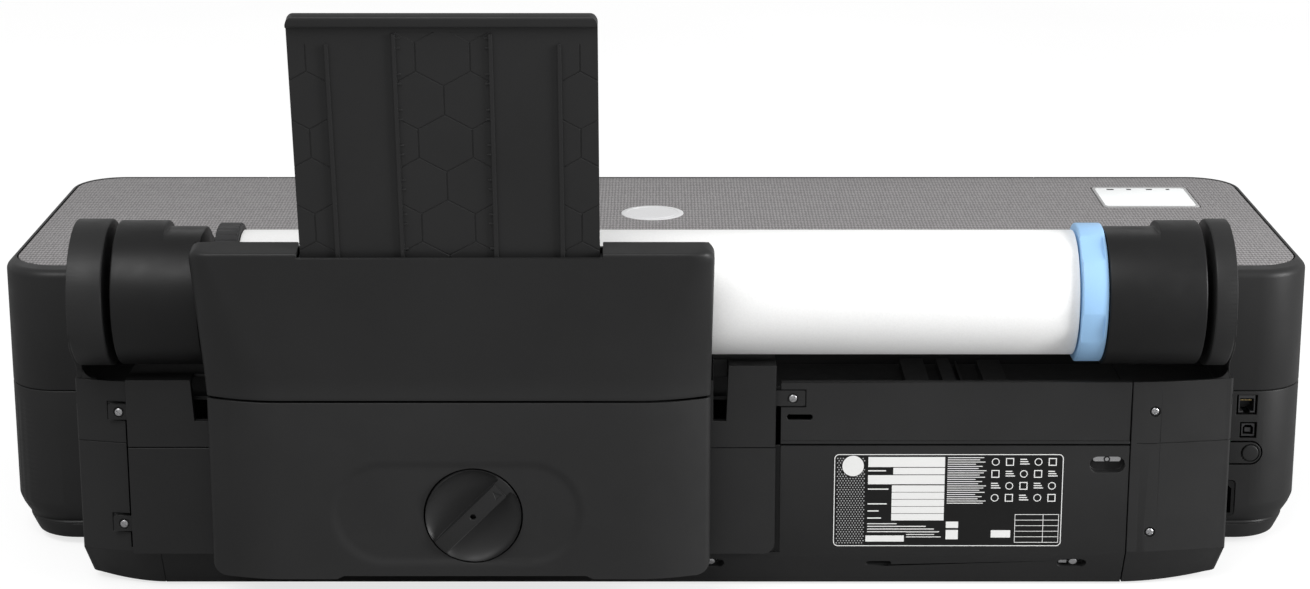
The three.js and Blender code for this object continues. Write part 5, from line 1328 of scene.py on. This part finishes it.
# ---------------------------------------------------------------- label and sockets
def rating_label():
    """A plain rating label: blank pale fields and rules on black film, without any lettering."""
    x0, x1, z0, z1 = 132.3, 303.7, 36.5, 109.7
    y = BLOCK_REAR
    film = prism("y", rounded(x0, x1, z0, z1, 4, 8), y - 0.15, y + 0.05)
    trim("label_film", film, "black_plastic")
    parts = []
    outer = rounded(x0 + 0.4, x1 - 0.4, z0 + 0.4, z1 - 0.4, 3.6, 8)
    border = prism("y", outer, y - 0.19, y - 0.12) - prism("y", inset(outer, 0.6), y - 0.3, y)
    parts.append(border)

    def field(a, b, c, d):
        parts.append(box(a, b, y - 0.2, y - 0.12, c, d))

    # Blank fields, measured from the label's upper left corner: left, right, upper, lower.
    for a, b, c, d in ((25.7, 82.8, 2.6, 10.4), (44.4, 82.8, 11.0, 16.2), (25.7, 82.8, 16.8, 23.9),
                       (24.6, 53.4, 64.4, 69.2), (84.6, 93.8, 60.0, 67.4),
                       (84.6, 93.8, 53.4, 58.4), (118.4, 133.0, 60.2, 66.0)):
        field(x0 + a, x0 + b, z1 - d, z1 - c)
    for k in range(5):
        field(x0 + 43.6, x0 + 82.8, z1 - 30.0 - 5.6 * k, z1 - 24.8 - 5.6 * k)
    # Thin rules where a printed label has its small lines.
    for k in range(5):
        z = z1 - 13.8 - (0, 14.4, 26.0, 31.6, 37.2)[k]
        field(x0 + 25.7, x0 + (39, 41, 40, 34, 36)[k], z, z + 0.9)
    for k in range(4):
        z = z1 - 55.4 - 2.1 * k
        field(x0 + 25.7, x0 + 25.7 + (22, 44, 50, 54)[k], z, z + 0.7)
    for k in range(22):
        z = z1 - 3.4 - 1.7 * k
        field(x0 + 84.8, x0 + 84.8 + (27, 24, 28, 21, 26, 23, 29)[k % 7], z, z + 0.6)
    for k in range(3):
        z = z1 - 62.0 - 1.9 * k
        field(x0 + 55.0, x0 + 55.0 + (24, 21, 26)[k], z, z + 0.6)
    for row in range(4):
        for column in range(5):
            x = x0 + 117.5 + 10.6 * column
            z = z1 - 9.4 - 9.4 * row
            if (row + column) % 3 == 0:
                parts.append(tube("y", 2.3, 2.9, y - 0.2, y - 0.12, x + 3, z + 3, 32, 0.01))
            elif (row + column) % 3 == 1:
                square = box(x, x + 6, y - 0.2, y - 0.12, z, z + 6)
                parts.append(square - box(x + 0.7, x + 5.3, y - 1, y + 1, z + 0.7, z + 5.3))
            else:
                for k in range(3):
                    field(x, x + 7.0 - k, z + 1.0 + 1.8 * k, z + 1.8 + 1.8 * k)
    for k in range(6):
        z = z0 + 3.2 + 4.4 * k
        field(x0 + 136, x1 - 2.4, z, z + 0.4)
    for x in (x0 + 136, x0 + 157, x1 - 2.8):
        parts.append(box(x, x + 0.4, y - 0.245, y - 0.205, z0 + 3.2, z0 + 25.6))
    parts.append(rod("y", 8.0, y - 0.3, y - 0.22, x0 + 14.4, z1 - 9.6, 64))
    trim("label_fields", joined(parts), "paper", look=LABEL_WHITE)
    dots = []
    for row in range(39):
        for column in range(10):
            x = x0 + 2.9 + 2.1 * column + (1.05 if row % 2 else 0)
            z = z0 + 3 + 1.75 * row
            if math.hypot(x - x0 - 14.4, z - z1 + 9.6) > 8.7:
                dots.append(rod("y", 0.55, y - 0.2, y - 0.12, x, z, 8))
    trim("label_dots", joined(dots), "dark_plastic", look=LABEL_GREY)


def sockets():
    jack = box(452.5, 465.5, -60.0, -42, 110.1, 124.3) - box(453.6, 464.4, -70, -46, 111.4, 121.6)
    jack = jack - box(456.4, 461.6, -70, -46, 109.6, 112)
    piece("network_jack", jack, "ethernet_jack", look=DARK_SHIELD, bevel=0.25)
    pins = joined([box(454.6 + 1.1 * k, 455.0 + 1.1 * k, -58, -46.2, 119.4, 120.2)
                   for k in range(8)])
    trim("network_contacts", pins, "screw_chrome", look=GOLD)
    port = box(455.9, 466.1, -59.5, -44, 90.9, 101.1)
    shape = [(457.0, 92.2), (465.0, 92.2), (465.0, 98.0), (463.3, 99.9), (458.7, 99.9),
             (457.0, 98.0)]
    port = port - prism("y", shape, -70, -48)
    port = port + box(458.6, 463.4, -58, -47, 93.8, 97.4)
    piece("data_port", port, "usb_port", look=DARK_SHIELD, bevel=0.25)
    inlet = prism("y", rounded(431, 453, 25.5, 54.5, 3, 8), -60.5, -38)
    inlet = inlet - prism("y", [(433.5, 28), (450.5, 28), (450.5, 48), (446.5, 52), (437.5, 52),
                                (433.5, 48)], -70, -42)
    piece("mains_inlet", inlet, "power_inlet", bevel=0.35)
    blades = joined([box(x - 1, x + 1, -56, -41, z - 2, z + 2)
                     for x, z in ((437.5, 37), (446.5, 37), (442, 45))])
    trim("mains_pins", blades, "screw_chrome", bevel=0.2)


# ---------------------------------------------------------------- rollers and the rest
def rollers():
    feed = rod("x", 8, -325, 325, *FEED_AXIS, 64, 0.4) + rod("x", 3, -479, 479, *FEED_AXIS, 32)
    feed = feed + rod("x", 22, -469, -464, *FEED_AXIS, 96, 0.4)
    piece("grit_roller", feed, "feed_roller", bevel=0.2, segments=2)
    pinch_y, pinch_z = FEED_AXIS[0], FEED_AXIS[1] + 8 + 5 + 0.4
    pinch = rod("x", 2, -460, 460, pinch_y, pinch_z, 32)
    for k in range(8):
        x = -300 + k * 85.0
        pinch = pinch + rod("x", 5, x - 18, x + 18, pinch_y, pinch_z, 48, 0.6)
    piece("pinch_wheels", pinch, "pinch_roller", smooth=35)
    pick = rod("x", 3, DOOR_LEFT + 13, DOOR_RIGHT - 13, *PICK_AXIS, 32)
    tyre = rod("x", 12, -190, -96, *PICK_AXIS, 96, 0.5)
    for x in PICK_GROOVES:
        tyre = tyre - tube("x", 11, 13, x - 1, x + 1, *PICK_AXIS, 96, 0.1)
    piece("pick_tyre", pick + tyre, "pick_roller", bevel=0.2, segments=2)
    for node, x, y, top, radius in (("front_left_foot", -430, 215, 7.9, 14),
                                    ("front_right_foot", 430, 215, 7.9, 14),
                                    ("rear_left_foot", -400, -100, 1.7, 13),
                                    ("rear_right_foot", 395, -100, 1.7, 13)):
        edge = min(0.6, top / 3)
        pad = lathe("z", x, y, rounded_profile(0, top, radius, edge), 96)
        ring = lathe("z", x, y, [(-1, radius - 5), (0.4, radius - 5), (0.4, radius - 3.6),
                                 (-1, radius - 3.6)], 96, ring=True)
        piece("pad_" + node, pad - ring, node)


def carried_over():
    for node in ("chassis", "guide_rail", "paper_path_plate", "service_station", "power_supply",
                 "print_carriage", "belt_idler", "carriage_motor", "cutter_carriage",
                 "cartridge_black", "cartridge_cyan", "cartridge_magenta", "cartridge_yellow",
                 "ink_bay", "main_board"):
        dress(node, 0.5)
    dress("carriage_belt", 0.15)


# ---------------------------------------------------------------- camera, floor and light
def area_light(name, place_at, target, size, energy):
    data = bpy.data.lights.new(name, "AREA")
    data.shape = "RECTANGLE"
    data.size, data.size_y = size
    data.energy = energy
    lamp = bpy.data.objects.new(name, data)
    lamp.location = place_at
    lamp.rotation_euler = (Vector(target) - Vector(place_at)).to_track_quat("-Z", "Y").to_euler()
    bpy.context.scene.collection.objects.link(lamp)


def studio():
    data = bpy.data.cameras.new("camera")
    data.sensor_width, data.lens = 36.0, 78.54
    data.shift_x, data.shift_y = -0.0008, 0.0
    camera = bpy.data.objects.new("camera", data)
    camera.location = (0, -2.183, 0.774)
    camera.rotation_euler = (math.radians(75), 0, 0)
    bpy.context.scene.collection.objects.link(camera)
    bpy.context.scene.camera = camera

    nodes = Nodes("pale_floor")
    where = nodes.coordinates()
    tint = nodes.ramp(nodes.noise(where, 1.2, 2.0), [(0.3, (0.35, 0.35, 0.35)),
                                                     (0.7, (0.36, 0.36, 0.36))])
    finish_shader(nodes, tint, roughness_of(nodes, where, 0.8, 0.03, 3.0), None, 0.2)
    nodes.link(tint, nodes.shader.inputs["Emission Color"])
    seen = nodes.add("LightPath").outputs["Is Camera Ray"]
    nodes.link(nodes.product(seen, 2.1), nodes.shader.inputs["Emission Strength"])
    mesh = bpy.data.meshes.new("floor")
    mesh.from_pydata([(-9, -6, 0), (9, -6, 0), (9, 12, 0), (-9, 12, 0)], [], [(0, 1, 2, 3)])
    mesh.materials.append(nodes.material)
    floor = bpy.data.objects.new("floor", mesh)
    bpy.context.scene.collection.objects.link(floor)

    world = bpy.data.worlds.new("studio")
    bpy.context.scene.world = world
    world.use_nodes = True
    # The backdrop shows white while lighting the object only softly.
    tree = world.node_tree
    seen = tree.nodes.new("ShaderNodeLightPath").outputs["Is Camera Ray"]
    strength = tree.nodes.new("ShaderNodeMapRange")
    strength.inputs["To Min"].default_value = 0.5
    strength.inputs["To Max"].default_value = 1.0
    tree.links.new(seen, strength.inputs["Value"])
    background = tree.nodes["Background"]
    background.inputs["Color"].default_value = (1, 1, 1, 1)
    tree.links.new(strength.outputs["Result"], background.inputs["Strength"])
    area_light("key", (-1.1, -2.1, 2.8), (0, 0, 0.2), (2.4, 1.6), 64)
    area_light("side", (2.6, -1.2, 0.9), (0.3, 0, 0.12), (0.8, 1.2), 72)
    bpy.context.scene.view_settings.view_transform = "Standard"


paper_roll()
flange()
stopper()
for hub_node, measures in HUBS.items():
    hub(hub_node, *measures)
spindle()
roll_block()
feeder_base()
feeder_door()
feeder_knob()
upper_cover()
extension()
paper_guides()
side_covers()
power_button()
rear_cover()
front_pieces()
top_panel()
rating_label()
sockets()
rollers()
carried_over()
studio()
bpy.data.scenes.remove(bench)
